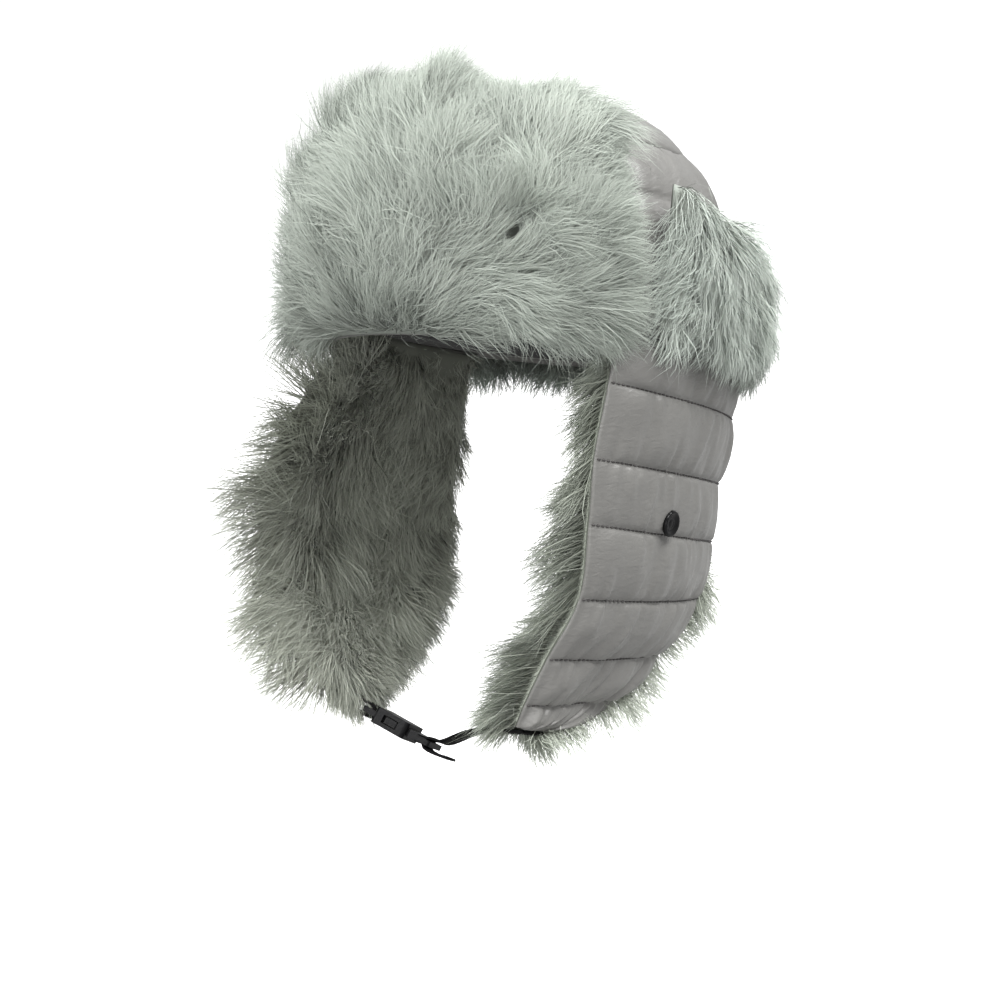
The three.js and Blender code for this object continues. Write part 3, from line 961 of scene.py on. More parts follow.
def add_group(nodes: Nodes, group: Tree, **values: object) -> Node:
    """Place a group in a material with its own values.

    Args:
        nodes: The material's nodes.
        group: The group.
        values: Values of its inputs by name with underscores.

    Returns:
        The group's node.
    """
    node = nodes.tree.nodes.new("ShaderNodeGroup")
    node.node_tree = group
    for label, value in values.items():
        given = (*value, 1.0) if isinstance(value, tuple) else value
        node.inputs[label.replace("_", " ")].default_value = given
    return node


def add_bump(nodes: Nodes, shader: Node, height: Socket, depth: float) -> None:
    """Bump a shader's surface.

    Args:
        nodes: The material's nodes.
        shader: Its shader.
        height: Socket of the height, from 0 to 1.
        depth: Depth of the relief in metres.
    """
    bump = nodes.add("Bump", Distance=depth, Strength=1.0)
    nodes.link(height, bump.inputs["Height"])
    nodes.link(bump.outputs[0], shader.inputs["Normal"])


@dataclass(frozen=True)
class PileFinish:
    """Colours of long pile, from the root of a hair to its tip."""

    name: str
    root: Colour
    middle: Colour
    tip: Colour
    spread: float = 0.9
    roughness: float = 0.75

    def make(self, groups: Groups) -> Material:
        """Build the material.

        Args:
            groups: The shared shader groups.

        Returns:
            The material.
        """
        material, nodes, shader = start_material(
            self.name, Roughness=self.roughness, Specular_IOR_Level=0.2, Sheen_Weight=0.1
        )
        pile = add_group(
            nodes, groups.pile, Root=self.root, Middle=self.middle, Tip=self.tip, Spread=self.spread
        )
        nodes.link(pile.outputs["Colour"], shader.inputs["Base Color"])
        return material


@dataclass(frozen=True)
class ClothFinish:
    """A woven cloth: its colour, gloss and fine crinkle."""

    name: str
    colour: Colour
    roughness: float
    crinkle_scale: float = 260.0
    crinkle_height: float = 0.0004
    patch_depth: float = 0.12
    sheen: float = 0.1
    shine: float = 0.7

    def make(self, groups: Groups) -> Material:
        """Build the material.

        Args:
            groups: The shared shader groups.

        Returns:
            The material.
        """
        material, nodes, shader = start_material(
            self.name, Roughness=self.roughness, Specular_IOR_Level=self.shine, Sheen_Weight=self.sheen
        )
        cloth = add_group(
            nodes, groups.cloth, Crinkle_Scale=self.crinkle_scale, Patch_Depth=self.patch_depth
        )
        colour = nodes.blend(1.0, self.colour, cloth.outputs["Shade"], "MULTIPLY")
        nodes.link(colour, shader.inputs["Base Color"])
        add_bump(nodes, shader, cloth.outputs["Height"], self.crinkle_height)
        return material


@dataclass(frozen=True)
class PlasticFinish:
    """Moulded plastic with a fine grain and paler patches of wear."""

    name: str
    colour: Colour
    roughness: float
    shine: float
    grain_scale: float = 900.0
    grain_height: float = 0.00006
    wear_scale: float = 90.0
    wear_pale: float = 1.6

    def make(self) -> Material:
        """Build the material.

        Returns:
            The material.
        """
        material, nodes, shader = start_material(
            self.name, Roughness=self.roughness, Specular_IOR_Level=self.shine
        )
        place = nodes.add("TexCoord").outputs["Object"]
        grain = nodes.add("TexNoise", Scale=self.grain_scale, Detail=2.0)
        worn = nodes.add("TexNoise", Scale=self.wear_scale, Detail=4.0)
        for noise in (grain, worn):
            nodes.link(place, noise.inputs["Vector"])
        pale = tuple(part * self.wear_pale for part in self.colour)
        nodes.link(nodes.blend(worn.outputs[0], self.colour, pale), shader.inputs["Base Color"])
        add_bump(nodes, shader, grain.outputs[0], self.grain_height)
        return material


@dataclass
class Finishes:
    """Every material of the hat, each built once."""

    groups: Groups = field(default_factory=Groups)

    def __post_init__(self) -> None:
        """Build the materials."""
        black = srgb(12, 12, 13)
        self.fur = self.pile("silver_pile", (122, 127, 119), (150, 156, 148), (174, 181, 172))
        # The nape pile is the silver pile painted paler at root, middle and tip: painted light for the back
        # flap, which the lamps light less than the front.
        self.painted_light_nape = self.pile("nape_pile_painted_light", (142, 147, 139), (174, 181, 173), (196, 204, 196))
        self.fringe = self.pile("fringe_pile", (122, 126, 116), (152, 157, 146), (184, 190, 178))
        self.lining = self.pile("lining_pile", (86, 88, 81), (144, 147, 136), (188, 192, 180))
        cloths = (
            ClothFinish("taupe_nylon", srgb(116, 115, 112), 0.40),
            ClothFinish("crown_lining_cloth", srgb(74, 74, 74), 0.7),
            ClothFinish("black_webbing", srgb(15, 15, 16), 0.75, 1400.0, 0.0003, sheen=0.0, shine=0.12),
            ClothFinish("grey_thread", srgb(60, 57, 56), 0.7, 2000.0, 0.0001),
        )
        self.nylon, self.inside, self.webbing, self.thread = (cloth.make(self.groups) for cloth in cloths)
        self.plastic = PlasticFinish("black_plastic", black, 0.34, 0.10).make()
        self.snap = PlasticFinish("black_snap", black, 0.20, 0.22).make()

    def pile(self, name: str, *colours: tuple[int, int, int]) -> Material:
        """Build a pile's material from its screen colours at root, middle and tip."""
        return PileFinish(name, *(srgb(*colour) for colour in colours)).make(self.groups)


# Fur


@dataclass(frozen=True)
class Comb:
    """How the pile lies at one place of a panel.

    Attributes:
        across: The place's share across the panel.
        along: The place's share along the panel.
        heading: Way that it is combed, in degrees: 0 to the far side and 90 to the far end.
        lift: Angle in degrees at which a hair leaves the backing.
        length: Length of a hair in millimetres.
        tone: Lighter above 0 and darker below; in places it is painted light and shade.
    """

    across: float
    along: float
    heading: float
    lift: float
    length: float
    tone: float = 0.0

    def values(self) -> tuple[float, float, float, float, float]:
        """The way to the side and to the end, lift, length in metres and tone."""
        way = radians(self.heading)
        return cos(way), sin(way), self.lift, self.length * MILLIMETRE, self.tone


@dataclass(frozen=True)
class Dimple:
    """A tack that draws the pile in.

    Attributes:
        across: Its share across the panel.
        along: Its share along the panel.
        reach: Distance over which the pile is drawn in, in metres.
        depth: Share of the pile's depth that is drawn in at the tack.
        hole: Radius that stays free of hairs, in metres.
    """

    across: float
    along: float
    reach: float
    depth: float
    hole: float = 0.0024


@dataclass(frozen=True)
class Habit:
    """How unevenly hairs of one level lie.

    Attributes:
        swing: Spread of their heading in degrees.
        lift: Spread of their lift in degrees.
        bend: Spread of their sideways bend in degrees.
        length: Spread of their length as a share.
        tone: Spread of their tone.
        pull: How far a hair is drawn to the one that it follows, at its tip.
        spacing: Distance between neighbours in metres, or 0 where they are counted.
    """

    swing: float
    lift: float
    bend: float
    length: float
    tone: float
    pull: float
    spacing: float = 0.0


@dataclass(frozen=True)
class Coat:
    """One kind of hair in a pile.

    Attributes:
        word: Its name.
        hairs: How many there are.
        habit: How they lie.
        width: Width of a hair at its middle, in metres.
        tone: Lighter above 0 and darker below.
        frizz: How far a hair wanders off its smooth curve, in metres.
    """

    word: str
    hairs: int
    habit: Habit
    width: float
    tone: float
    frizz: float


LOCKS = Habit(swing=13, lift=7, bend=20, length=0.12, tone=0.06, pull=0.0, spacing=0.013)
TUFTS = Habit(swing=10, lift=7, bend=16, length=0.10, tone=0.05, pull=0.32, spacing=0.0034)
WOOL = Habit(swing=9, lift=7, bend=20, length=0.16, tone=0.07, pull=0.40)
LOOSE = Habit(swing=18, lift=9, bend=36, length=0.18, tone=0.10, pull=0.18)

HAIR_STEPS = 3
HAIR_WIDTHS = np.array([0.9, 1.0, 0.7])
OUT_SHARE, OWN_SHARE, STRAY_SHARE = 0.62, 0.45, 0.16
PROUD_SHARE, PROUD_ROOM = 0.03, 0.0085
FACE_STEP = 0.02
LENGTH_SPREAD = (-0.4, 0.2)
TACK_STEPS = 12


@dataclass
class Bunch:
    """Hairs of one level: where they root, how they lie and the curves that they follow."""

    across: Array
    along: Array
    swing: Array
    lift: Array
    bend: Array
    length: Array
    tone: Array
    curves: Array
    facing: Array


@dataclass(frozen=True)
class Pelt:
    """Long pile on one panel: a lumpy undercoat and combed hairs in tufts and locks.

    Attributes:
        comb_reach: How far a comb's values spread, as a share of half the width.
        curl: Degrees by which a hair's lift falls towards its tip.
        thin_ends: Share of the depth that is missing at the panel's start and at its far end.
        in_pieces: Whether each coat is a piece of its own.
        rounded: Whether the hairs stand off the undercoat's rounded face, and not off the plain panel.
        undercoat_shade: Place of the undercoat's colour between a hair's root and tip.
        to_edges: Power below 1 that draws the roots to the panel's side edges.
        lump: Height of the undercoat's lumps as a share of its depth.
        edge_depth: Share of the undercoat's depth at the panel's very edge.
        wander: Degrees by which the heading changes in broad patches.
        wave: Degrees by which the heading changes in small patches.
        short_share: Share of its length that a hair keeps where the pile is thin.
        sunk: How deep a hair's root is sunk in the undercoat.
        roll: Spread of a ribbon's roll.
        pull_power: How late along its length a hair is drawn to the one that it follows.
    """

    name: str
    node: str
    panel: Panel
    combs: tuple[Comb, ...]
    coats: tuple[Coat, ...]
    seed: int
    undercoat: float = 0.010
    round_edge: float = 0.014
    comb_reach: float = 0.17
    curl: float = 40.0
    fall: float = 0.18
    thin_ends: Pair = (0.0, 0.0)
    thin_top: float = 0.2
    thin_tip: float = 0.3
    dimple: Dimple | None = None
    in_pieces: bool = False
    rounded: bool = True
    undercoat_shade: float = 0.3
    to_edges: float = 1.0
    lump: float = 0.28
    lump_size: float = 0.024
    edge_depth: float = 0.12
    wander: float = 26.0
    wander_size: float = 0.036
    wave: float = 15.0
    wave_size: float = 0.014
    short_share: float = 0.45
    sunk: float = 0.001
    roll: float = 0.42
    pull_power: float = 1.3

    def pattern(self, step: int, size: float, x: Array, y: Array) -> Array:
        """Random values from -1 to 1 in patches of one size, the same each time for a step."""
        return Unevenness(self.seed + step, size, size).at(x, y)

    def thickness(self, across: Array, along: Array) -> Array:
        """Share of its full depth that the pile has at each place.

        Args:
            across: Shares across the panel.
            along: Shares along the panel.

        Returns:
            One share for each place.
        """
        x, y = self.panel.metres(across, along)
        top, tip = self.thin_ends
        full = 1 - top * np.maximum(0, 1 - along / self.thin_top)
        full = full - tip * np.maximum(0, (along - (1 - self.thin_tip)) / self.thin_tip)
        if self.dimple is not None:
            near_x, near_y = self.panel.metres(self.dimple.across, self.dimple.along)
            away = (x - near_x) ** 2 + (y - near_y) ** 2
            full = full * (1 - self.dimple.depth * np.exp(-away / self.dimple.reach**2))
        return full

    def depth(self, across: Array, along: Array) -> Array:
        """Depth of the undercoat, rounded at the panel's edges.

        Args:
            across: Shares across the panel.
            along: Shares along the panel.

        Returns:
            One depth for each place.
        """
        x, y = self.panel.metres(across, along)
        from_side = self.panel.half_span - np.abs(x)
        from_end = np.minimum(y, self.panel.length - y)
        edge = np.clip(np.minimum(from_side, from_end) / self.round_edge, 0, 1)
        rounded = self.edge_depth + (1 - self.edge_depth) * np.sqrt(1 - (1 - edge) ** 2)
        lumps = 1 + self.lump * self.pattern(5, self.lump_size, x, y)
        return self.undercoat * lumps * rounded * self.thickness(across, along)

    def skin(self, across: Array, along: Array) -> Array:
        """Points of the undercoat's outer face."""
        return self.panel.place(across, along, self.depth(across, along))

    def level(self, across: Array, along: Array) -> Array:
        """Points at the undercoat's full depth, without its rounding and lumps."""
        return self.panel.place(across, along, np.full(across.shape, self.undercoat))

    def directions(self, across: Array, along: Array) -> tuple[Array, Array, Array]:
        """Unit vectors of the undercoat's face.

        Args:
            across: Shares across the panel.
            along: Shares along the panel.

        Returns:
            The ways to the far side, to the far end and out.
        """
        step = FACE_STEP
        face = self.skin if self.rounded else self.level
        side = unit(face(across + step, along) - face(across - step, along))
        end = face(across, along + step) - face(across, along - step)
        end = unit(end - side * (end * side).sum(-1, keepdims=True))
        out = np.cross(side, end)
        away = np.sign((out * self.panel.away(across, along)).sum(-1, keepdims=True))
        return side, end, out * away

    def combed(self, across: Array, along: Array) -> Array:
        """The combs' values at each place, weighted by how near they are.

        Args:
            across: Shares across the panel.
            along: Shares along the panel.

        Returns:
            To side, to end, lift, length in metres and tone, in columns.
        """
        table = np.array([comb.values() for comb in self.combs])
        at = np.array([[comb.across, comb.along] for comb in self.combs])
        ratio = self.panel.length / self.panel.half_span
        away = (across[:, None] - at[:, 0]) ** 2 + ((along[:, None] - at[:, 1]) * ratio) ** 2
        weight = np.exp(-away / (2 * self.comb_reach**2)) + 1e-9
        return weight @ table / weight.sum(1, keepdims=True)

    def grow(self, bunch: Bunch) -> None:
        """Work out a bunch's curves from how it lies.

        Args:
            bunch: The hairs, whose curves and facing are set.
        """
        side, end, out = self.directions(bunch.across, bunch.along)
        values = self.combed(bunch.across, bunch.along)
        heading = unit(side * values[:, :1] + end * values[:, 1:2])
        sideways = np.cross(out, heading)
        x, y = self.panel.metres(bunch.across, bunch.along)
        wander = self.wander * self.pattern(1, self.wander_size, x, y)
        wave = self.wave * self.pattern(2, self.wave_size, x, y)
        thick = self.thickness(bunch.across, bunch.along)
        length = values[:, 3] * bunch.length * (self.short_share + (1 - self.short_share) * thick)
        lift = values[:, 2] + bunch.lift
        place = self.skin(bunch.across, bunch.along) - out * self.sunk
        rows = [place]
        down = np.array([0.0, 0.0, -1.0])
        for step in range(HAIR_STEPS):
            share = (step + 0.5) / HAIR_STEPS
            angle = np.radians(wander + wave + bunch.swing + bunch.bend * share)[:, None]
            tilt = np.radians(lift - self.curl * share)[:, None]
            flat = heading * np.cos(angle) + sideways * np.sin(angle)
            way = unit(flat * np.cos(tilt) + out * np.sin(tilt) + down * self.fall * share)
            place = place + way * (length / HAIR_STEPS)[:, None]
            rows.append(place)
        bunch.curves = np.stack(rows, 1)
        bunch.facing = out

    def sow(self, habit: Habit, count: int, rng: np.random.Generator, parent: Bunch | None) -> Bunch:
        """Root and grow one level of hairs.

        Args:
            habit: How unevenly this level lies.
            count: How many hairs it has.
            rng: Source of its random draws.
            parent: The level that it follows, if any.

        Returns:
            The grown bunch.
        """
        ratio = 2 * self.panel.half_span / self.panel.length
        rows = max(2, round((count / ratio) ** 0.5))
        columns = max(2, round(count / rows))
        i, j = (part.ravel().astype(float) for part in np.meshgrid(np.arange(columns), np.arange(rows)))
        across = 2 * (i + rng.uniform(0, 1, i.shape)) / columns - 1
        across = np.sign(across) * np.abs(across) ** self.to_edges
        along = (j + rng.uniform(0, 1, i.shape)) / rows
        number = len(across)
        bunch = Bunch(
            across,
            along,
            rng.normal(0, habit.swing, number),
            rng.normal(0, habit.lift, number),
            rng.normal(0, habit.bend, number),
            1 + rng.normal(0, habit.length, number).clip(*LENGTH_SPREAD),
            rng.normal(0, habit.tone, number),
            np.empty(0),
            np.empty(0),
        )
        if parent is None:
            self.grow(bunch)
            return bunch
        near = self.nearest(parent, across, along)
        bunch.swing += parent.swing[near]
        bunch.lift += parent.lift[near]
        bunch.bend += parent.bend[near]
        bunch.length *= parent.length[near]
        bunch.tone += parent.tone[near]
        self.grow(bunch)
        share = np.linspace(0, 1, HAIR_STEPS + 1)[None, :, None] ** self.pull_power
        bunch.curves += habit.pull * share * (parent.curves[near] - bunch.curves)
        return bunch

    def nearest(self, parent: Bunch, across: Array, along: Array) -> Array:
        """Find the nearest root of a bunch.

        Args:
            parent: The bunch.
            across: Shares across the panel.
            along: Shares along the panel.

        Returns:
            The index of the nearest root for each place.
        """
        tree = KDTree(len(parent.across))
        for index, (x, y) in enumerate(zip(*self.panel.metres(parent.across, parent.along))):
            tree.insert((x, y, 0.0), index)
        tree.balance()
        x, y = self.panel.metres(across, along)
        return np.array([tree.find((a, b, 0.0))[1] for a, b in zip(x, y)])

    def undercoat_faces(self, faces: Faces) -> None:
        """Add the undercoat as a closed solid between the backing and its lumpy face.

        Args:
            faces: The mesh to add to.
        """
        columns, rows = 60, 36
        across, along = np.meshgrid(np.linspace(-1, 1, columns + 1), np.linspace(0, 1, rows + 1))
        outer = self.skin(across.ravel(), along.ravel()).reshape(rows + 1, columns + 1, 3)
        inner = self.panel.place(across.ravel(), along.ravel(), np.zeros(across.size))
        shade = np.full(across.shape, self.undercoat_shade)
        # The combs' tones, with their painted light and shade, colour the undercoat as well.
        tone = self.combed(across.ravel(), along.ravel())[:, 4].reshape(across.shape)
        faces.add_solid(outer, inner.reshape(outer.shape), shade, 0.5 + tone, skip=3)

    def build(self, material: Material) -> list[Piece]:
        """Make the pelt, in one piece or with a piece for each coat.

        Args:
            material: The pile's material.

        Returns:
            The pieces, which stand for the pelt's solid.
        """
        rng = np.random.default_rng(self.seed)
        area = 2 * self.panel.half_span * self.panel.length
        locks = self.sow(LOCKS, int(area / LOCKS.spacing**2), rng, None)
        tufts = self.sow(TUFTS, int(area / TUFTS.spacing**2), rng, locks)
        faces = Faces()
        self.undercoat_faces(faces)
        made = []
        for coat in self.coats:
            hairs = self.sow(coat.habit, coat.hairs, rng, tufts)
            self.hair_faces(faces, hairs, coat, rng)
            if self.in_pieces or coat is self.coats[-1]:
                name = f"{self.name}_{coat.word}" if self.in_pieces else self.name
                made.append(faces.piece(name, [material]))
                faces = Faces()
        return [declare(piece, self.node) for piece in made]

    def hair_faces(self, faces: Faces, hairs: Bunch, coat: Coat, rng: np.random.Generator) -> None:
        """Add each hair as a narrow tapered ribbon.

        Args:
            faces: The mesh to add to.
            hairs: The hairs.
            coat: The kind of hair.
            rng: Source of each ribbon's roll, width and frizz.
        """
        count = len(hairs.across)
        share = np.linspace(0, 1, HAIR_STEPS + 1)[None, :, None]
        curves = self.kept_in(hairs.curves + rng.normal(0, coat.frizz, hairs.curves.shape) * share)
        if self.dimple is not None:
            curves = self.kept_off(curves, self.dimple)
        way = np.gradient(curves, axis=1)
        facing = unit(hairs.facing + rng.normal(0, self.roll, (count, 3)))
        wide = unit(np.cross(way, facing[:, None, :]))
        width = coat.width * rng.uniform(0.75, 1.25, count) / 2
        half = wide[:, :HAIR_STEPS] * (width[:, None] * HAIR_WIDTHS)[:, :, None]
        body = curves[:, :HAIR_STEPS]
        pairs = np.stack([body - half, body + half], 2).reshape(count, 2 * HAIR_STEPS, 3)
        points = np.concatenate([pairs, curves[:, HAIR_STEPS:]], 1)
        own = unit(np.cross(wide, way))
        stray = rng.normal(0, STRAY_SHARE, (count, 1, 3))
        normals = unit(hairs.facing[:, None] * OUT_SHARE + own * OWN_SHARE + stray)
        steps = [*np.repeat(np.arange(HAIR_STEPS), 2), HAIR_STEPS]
        stride = 2 * HAIR_STEPS + 1
        first = faces.add_points(points, normals[:, steps]) + np.arange(count)[:, None] * stride
        # The combs' tones add painted light and shade to each hair's own random tone.
        tone = hairs.tone + coat.tone + self.combed(hairs.across, hairs.along)[:, 4]
        tone = np.clip(0.5 + tone, 0.02, 0.98)
        for step in range(HAIR_STEPS - 1):
            ring = first + np.array([2 * step, 2 * step + 1, 2 * step + 3, 2 * step + 2])
            at = np.array([step, step, step + 1, step + 1]) / HAIR_STEPS
            faces.add_polygons(ring, self.map_of(at, tone))
        last = 2 * (HAIR_STEPS - 1)
        at = np.array([HAIR_STEPS - 1, HAIR_STEPS - 1, HAIR_STEPS]) / HAIR_STEPS
        faces.add_polygons(first + np.array([last, last + 1, last + 2]), self.map_of(at, tone))

    @staticmethod
    def kept_in(curves: Array) -> Array:
        """Shorten the few hairs that would stray further from the hat than its fur does.

        Args:
            curves: Points of every hair from its root to its tip.

        Returns:
            The curves, inside a box round the solids.
        """
        low, high = np.array(CAD_LOW), np.array(CAD_HIGH)
        proud = (high - low) * PROUD_SHARE
        low, high = low - proud - PROUD_ROOM, high + proud + PROUD_ROOM
        root = curves[:, :1]
        reach = curves - root
        room = np.where(reach > 0, high - root, root - low)
        share = np.where(np.abs(reach) > room, room / np.maximum(np.abs(reach), 1e-9), 1.0)
        return root + reach * share.min((1, 2), keepdims=True)

    def kept_off(self, curves: Array, dimple: Dimple) -> Array:
        """Shorten the hairs that would cover a dimple's tack.

        Args:
            curves: Points of every hair from its root to its tip.
            dimple: The dimple.

        Returns:
            The curves, ended where they come to the tack.
        """
        across, along = np.array([dimple.across]), np.array([dimple.along])
        tack = self.panel.place(across, along, np.zeros(1))[0]
        axis = self.panel.away(across, along)[0]
        shares = np.linspace(0.0, 1.0, TACK_STEPS)
        at = shares * HAIR_STEPS
        step = np.minimum(at.astype(int), HAIR_STEPS - 1)
        part = (at - step)[None, :, None]
        walked = curves[:, step] * (1 - part) + curves[:, step + 1] * part
        away = walked - tack
        off = np.linalg.norm(away - (away @ axis)[..., None] * axis, axis=-1)
        covers = (off < dimple.hole) & (shares > 0)
        first = np.where(covers.any(1), shares[covers.argmax(1)], 1.0)
        kept = np.where(first < 1, np.maximum(first - shares[1], shares[1]), 1)
        root = curves[:, :1]
        return root + (curves - root) * kept[:, None, None]

    @staticmethod
    def map_of(share: Array, tone: Array) -> Array:
        """Map values of one polygon of every hair: its share along the hair and the hair's tone."""
        count = len(tone)
        return np.stack([np.tile(share, (count, 1)), np.tile(tone[:, None], (1, len(share)))], -1)


def other_side(combs: tuple[Comb, ...]) -> tuple[Comb, ...]:
    """The same combs for the panel's other half."""
    return tuple(Comb(-c.across, c.along, 180 - c.heading, c.lift, c.length, c.tone) for c in combs)


# The tones of these combs are painted light and shade: the hairs are darker along the bottom edge as painted
# shade under the flap, darker along the top to even out the light from above, and lighter across the middle.
FRONT_COMBS = (
    Comb(-1.00, 1.00, 96, 12, 10, 0.04),
    Comb(-0.60, 1.00, 102, 32, 17, -0.04),
    Comb(-0.22, 1.00, 104, 36, 18, -0.10),
    Comb(0.10, 1.00, 94, 48, 26, -0.02),
    Comb(0.42, 1.00, 64, 20, 11, -0.04),
    Comb(0.80, 1.00, 50, 20, 14, 0.06),
    Comb(1.00, 0.97, 34, 24, 36, 0.04),
    Comb(-1.00, 0.72, 106, 12, 14, 0.08),
    Comb(-0.60, 0.72, 110, 34, 34, 0.04),
    Comb(-0.10, 0.75, 106, 30, 36, 0.04),
    Comb(0.30, 0.72, 114, 26, 34, 0.06),
    Comb(0.70, 0.72, 66, 26, 32, 0.02),
    Comb(1.00, 0.84, 22, 28, 46, 0.06),
    Comb(1.00, 0.64, 40, 18, 11, 0.04),
    Comb(-1.00, 0.45, 118, 18, 22, 0.10),
    Comb(-0.62, 0.48, 118, 34, 38, 0.12),
    Comb(-0.10, 0.46, 112, 30, 38, 0.12),
    Comb(0.28, 0.48, 134, 28, 38, 0.10),
    Comb(0.50, 0.50, 118, 28, 36, 0.08),
    Comb(0.75, 0.45, 34, 28, 30, 0.00),
    Comb(1.00, 0.44, 60, 20, 8, 0.04),
    Comb(-0.74, 0.28, 140, 34, 34, 0.12),
    Comb(-0.36, 0.28, 124, 30, 36, 0.12),
    Comb(-0.08, 0.17, 84, 30, 32, 0.02),
    Comb(0.22, 0.28, 56, 28, 32, 0.02),
    Comb(0.22, 0.14, 20, 28, 30, 0.00),
    Comb(0.55, 0.29, 6, 24, 28, 0.00),
    Comb(0.60, 0.14, 4, 28, 32, 0.02),
    Comb(-1.00, 0.18, 170, 44, 34, 0.06),
    Comb(-0.80, 0.13, 176, 36, 36, 0.06),
    Comb(-0.56, 0.13, 160, 28, 36, 0.02),
    Comb(-0.34, 0.13, 122, 28, 32, 0.00),
    Comb(-0.10, 0.06, 50, 26, 24, -0.08),
    Comb(1.00, 0.20, -6, 24, 42, 0.02),
    # The dark tones of this bottom row are painted shade under the flap's lower edge.
    Comb(-1.00, 0.00, 206, 40, 38, 0.00),
    Comb(-0.80, 0.00, 200, 34, 34, -0.04),
    Comb(-0.58, 0.00, 174, 26, 24, -0.14),
    Comb(-0.40, -0.02, 100, 22, 16, -0.24),
    Comb(-0.24, -0.02, 40, 24, 18, -0.22),
    Comb(0.02, -0.02, 4, 28, 24, -0.14),
    Comb(0.30, 0.00, -34, 36, 28, -0.02),
    Comb(0.60, 0.00, 4, 28, 18, -0.04),
    Comb(1.00, 0.00, -12, 26, 42, 0.00),
)
BACK_HALF_COMBS = (
    Comb(-1.00, 1.00, 80, 44, 20, 0.12),
    Comb(-1.00, 0.84, -128, 44, 13, 0.12),
    Comb(-1.00, 0.50, -108, 28, 17, 0.10),
    Comb(-1.00, 0.22, -118, 28, 27, 0.08),
    Comb(-1.00, 0.00, -132, 32, 28, 0.04),
    Comb(-0.88, 1.00, 50, 38, 22, 0.10),
    Comb(-0.86, 0.60, -80, 26, 30, 0.08),
    Comb(-0.86, 0.00, -100, 32, 26, 0.04),
    Comb(-0.60, 1.00, 60, 34, 20, 0.08),
    Comb(-0.55, 0.50, -62, 32, 23, 0.06),
    Comb(-0.55, 0.00, -90, 32, 24, -0.02),
    Comb(-0.20, 1.00, 90, 34, 18, 0.06),
    Comb(-0.20, 0.50, -80, 32, 22, 0.04),
    Comb(-0.20, 0.00, -90, 32, 22, -0.04),
)
LEFT_COMBS = (
    Comb(-1.00, 0.00, 116, 46, 22, 0.16),
    Comb(-1.00, 0.20, 112, 48, 30, 0.16),
    Comb(-1.00, 0.50, 110, 50, 34, 0.12),
    Comb(-1.00, 0.75, 110, 50, 34, 0.10),
    Comb(-1.00, 0.96, 108, 46, 36, 0.16),
    Comb(-0.60, 0.30, 130, 40, 24, 0.00),
    Comb(-0.60, 0.70, 125, 40, 24, 0.00),
    Comb(0.00, 0.25, 110, 34, 22, -0.12),
    Comb(0.00, 0.60, 100, 36, 24, -0.10),
    Comb(0.00, 0.98, 95, 10, 28, 0.20),
    Comb(0.60, 0.30, 80, 30, 20, -0.08),
    Comb(0.60, 0.70, 70, 26, 24, -0.02),
    Comb(1.00, 0.10, 60, 20, 8, 0.00),
    Comb(1.00, 0.34, 50, 20, 9, 0.04),
    Comb(1.00, 0.56, 24, -10, 29, 0.28),
    Comb(1.00, 0.78, 42, -12, 30, 0.34),
    Comb(1.00, 0.97, 72, -8, 30, 0.36),
)
# The tones of these combs are painted light and shade: darker by the back edge near the rim, where the
# lining lies in shade by the face, and lighter in the middle, where the lamps reach the lining little.
RIGHT_COMBS = (
    Comb(-1.00, 0.06, 180, 12, 30, 0.06),
    Comb(-1.00, 0.25, 172, 8, 41, 0.10),
    Comb(-1.00, 0.45, 174, 10, 44, 0.10),
    Comb(-1.00, 0.62, 178, 10, 45, 0.08),
    Comb(-1.00, 0.78, 164, 12, 44, 0.08),
    Comb(-1.00, 0.95, 134, 12, 38, 0.04),
    Comb(-0.75, 0.35, 160, 34, 32, 0.04),
    Comb(-0.75, 0.65, 160, 34, 34, 0.06),
    Comb(-0.40, 0.22, 132, 36, 30, 0.02),
    Comb(-0.40, 0.50, 112, 36, 32, 0.18),
    Comb(-0.40, 0.75, 140, 36, 32, 0.08),
    Comb(0.00, 0.28, 122, 36, 30, 0.08),
    Comb(0.00, 0.50, 108, 38, 32, 0.26),
    Comb(0.00, 0.72, 98, 38, 32, 0.10),
    Comb(0.00, 0.98, 90, 26, 30, 0.04),
    Comb(0.50, 0.35, 125, 38, 28, -0.04),
    Comb(0.50, 0.65, 118, 38, 28, 0.08),
    Comb(0.60, 0.90, 100, 30, 28, -0.04),
    Comb(1.00, 0.15, 80, 26, 14, -0.20),
    Comb(1.00, 0.50, 70, 28, 14, -0.16),
    Comb(1.00, 0.80, 70, 28, 22, -0.06),
)


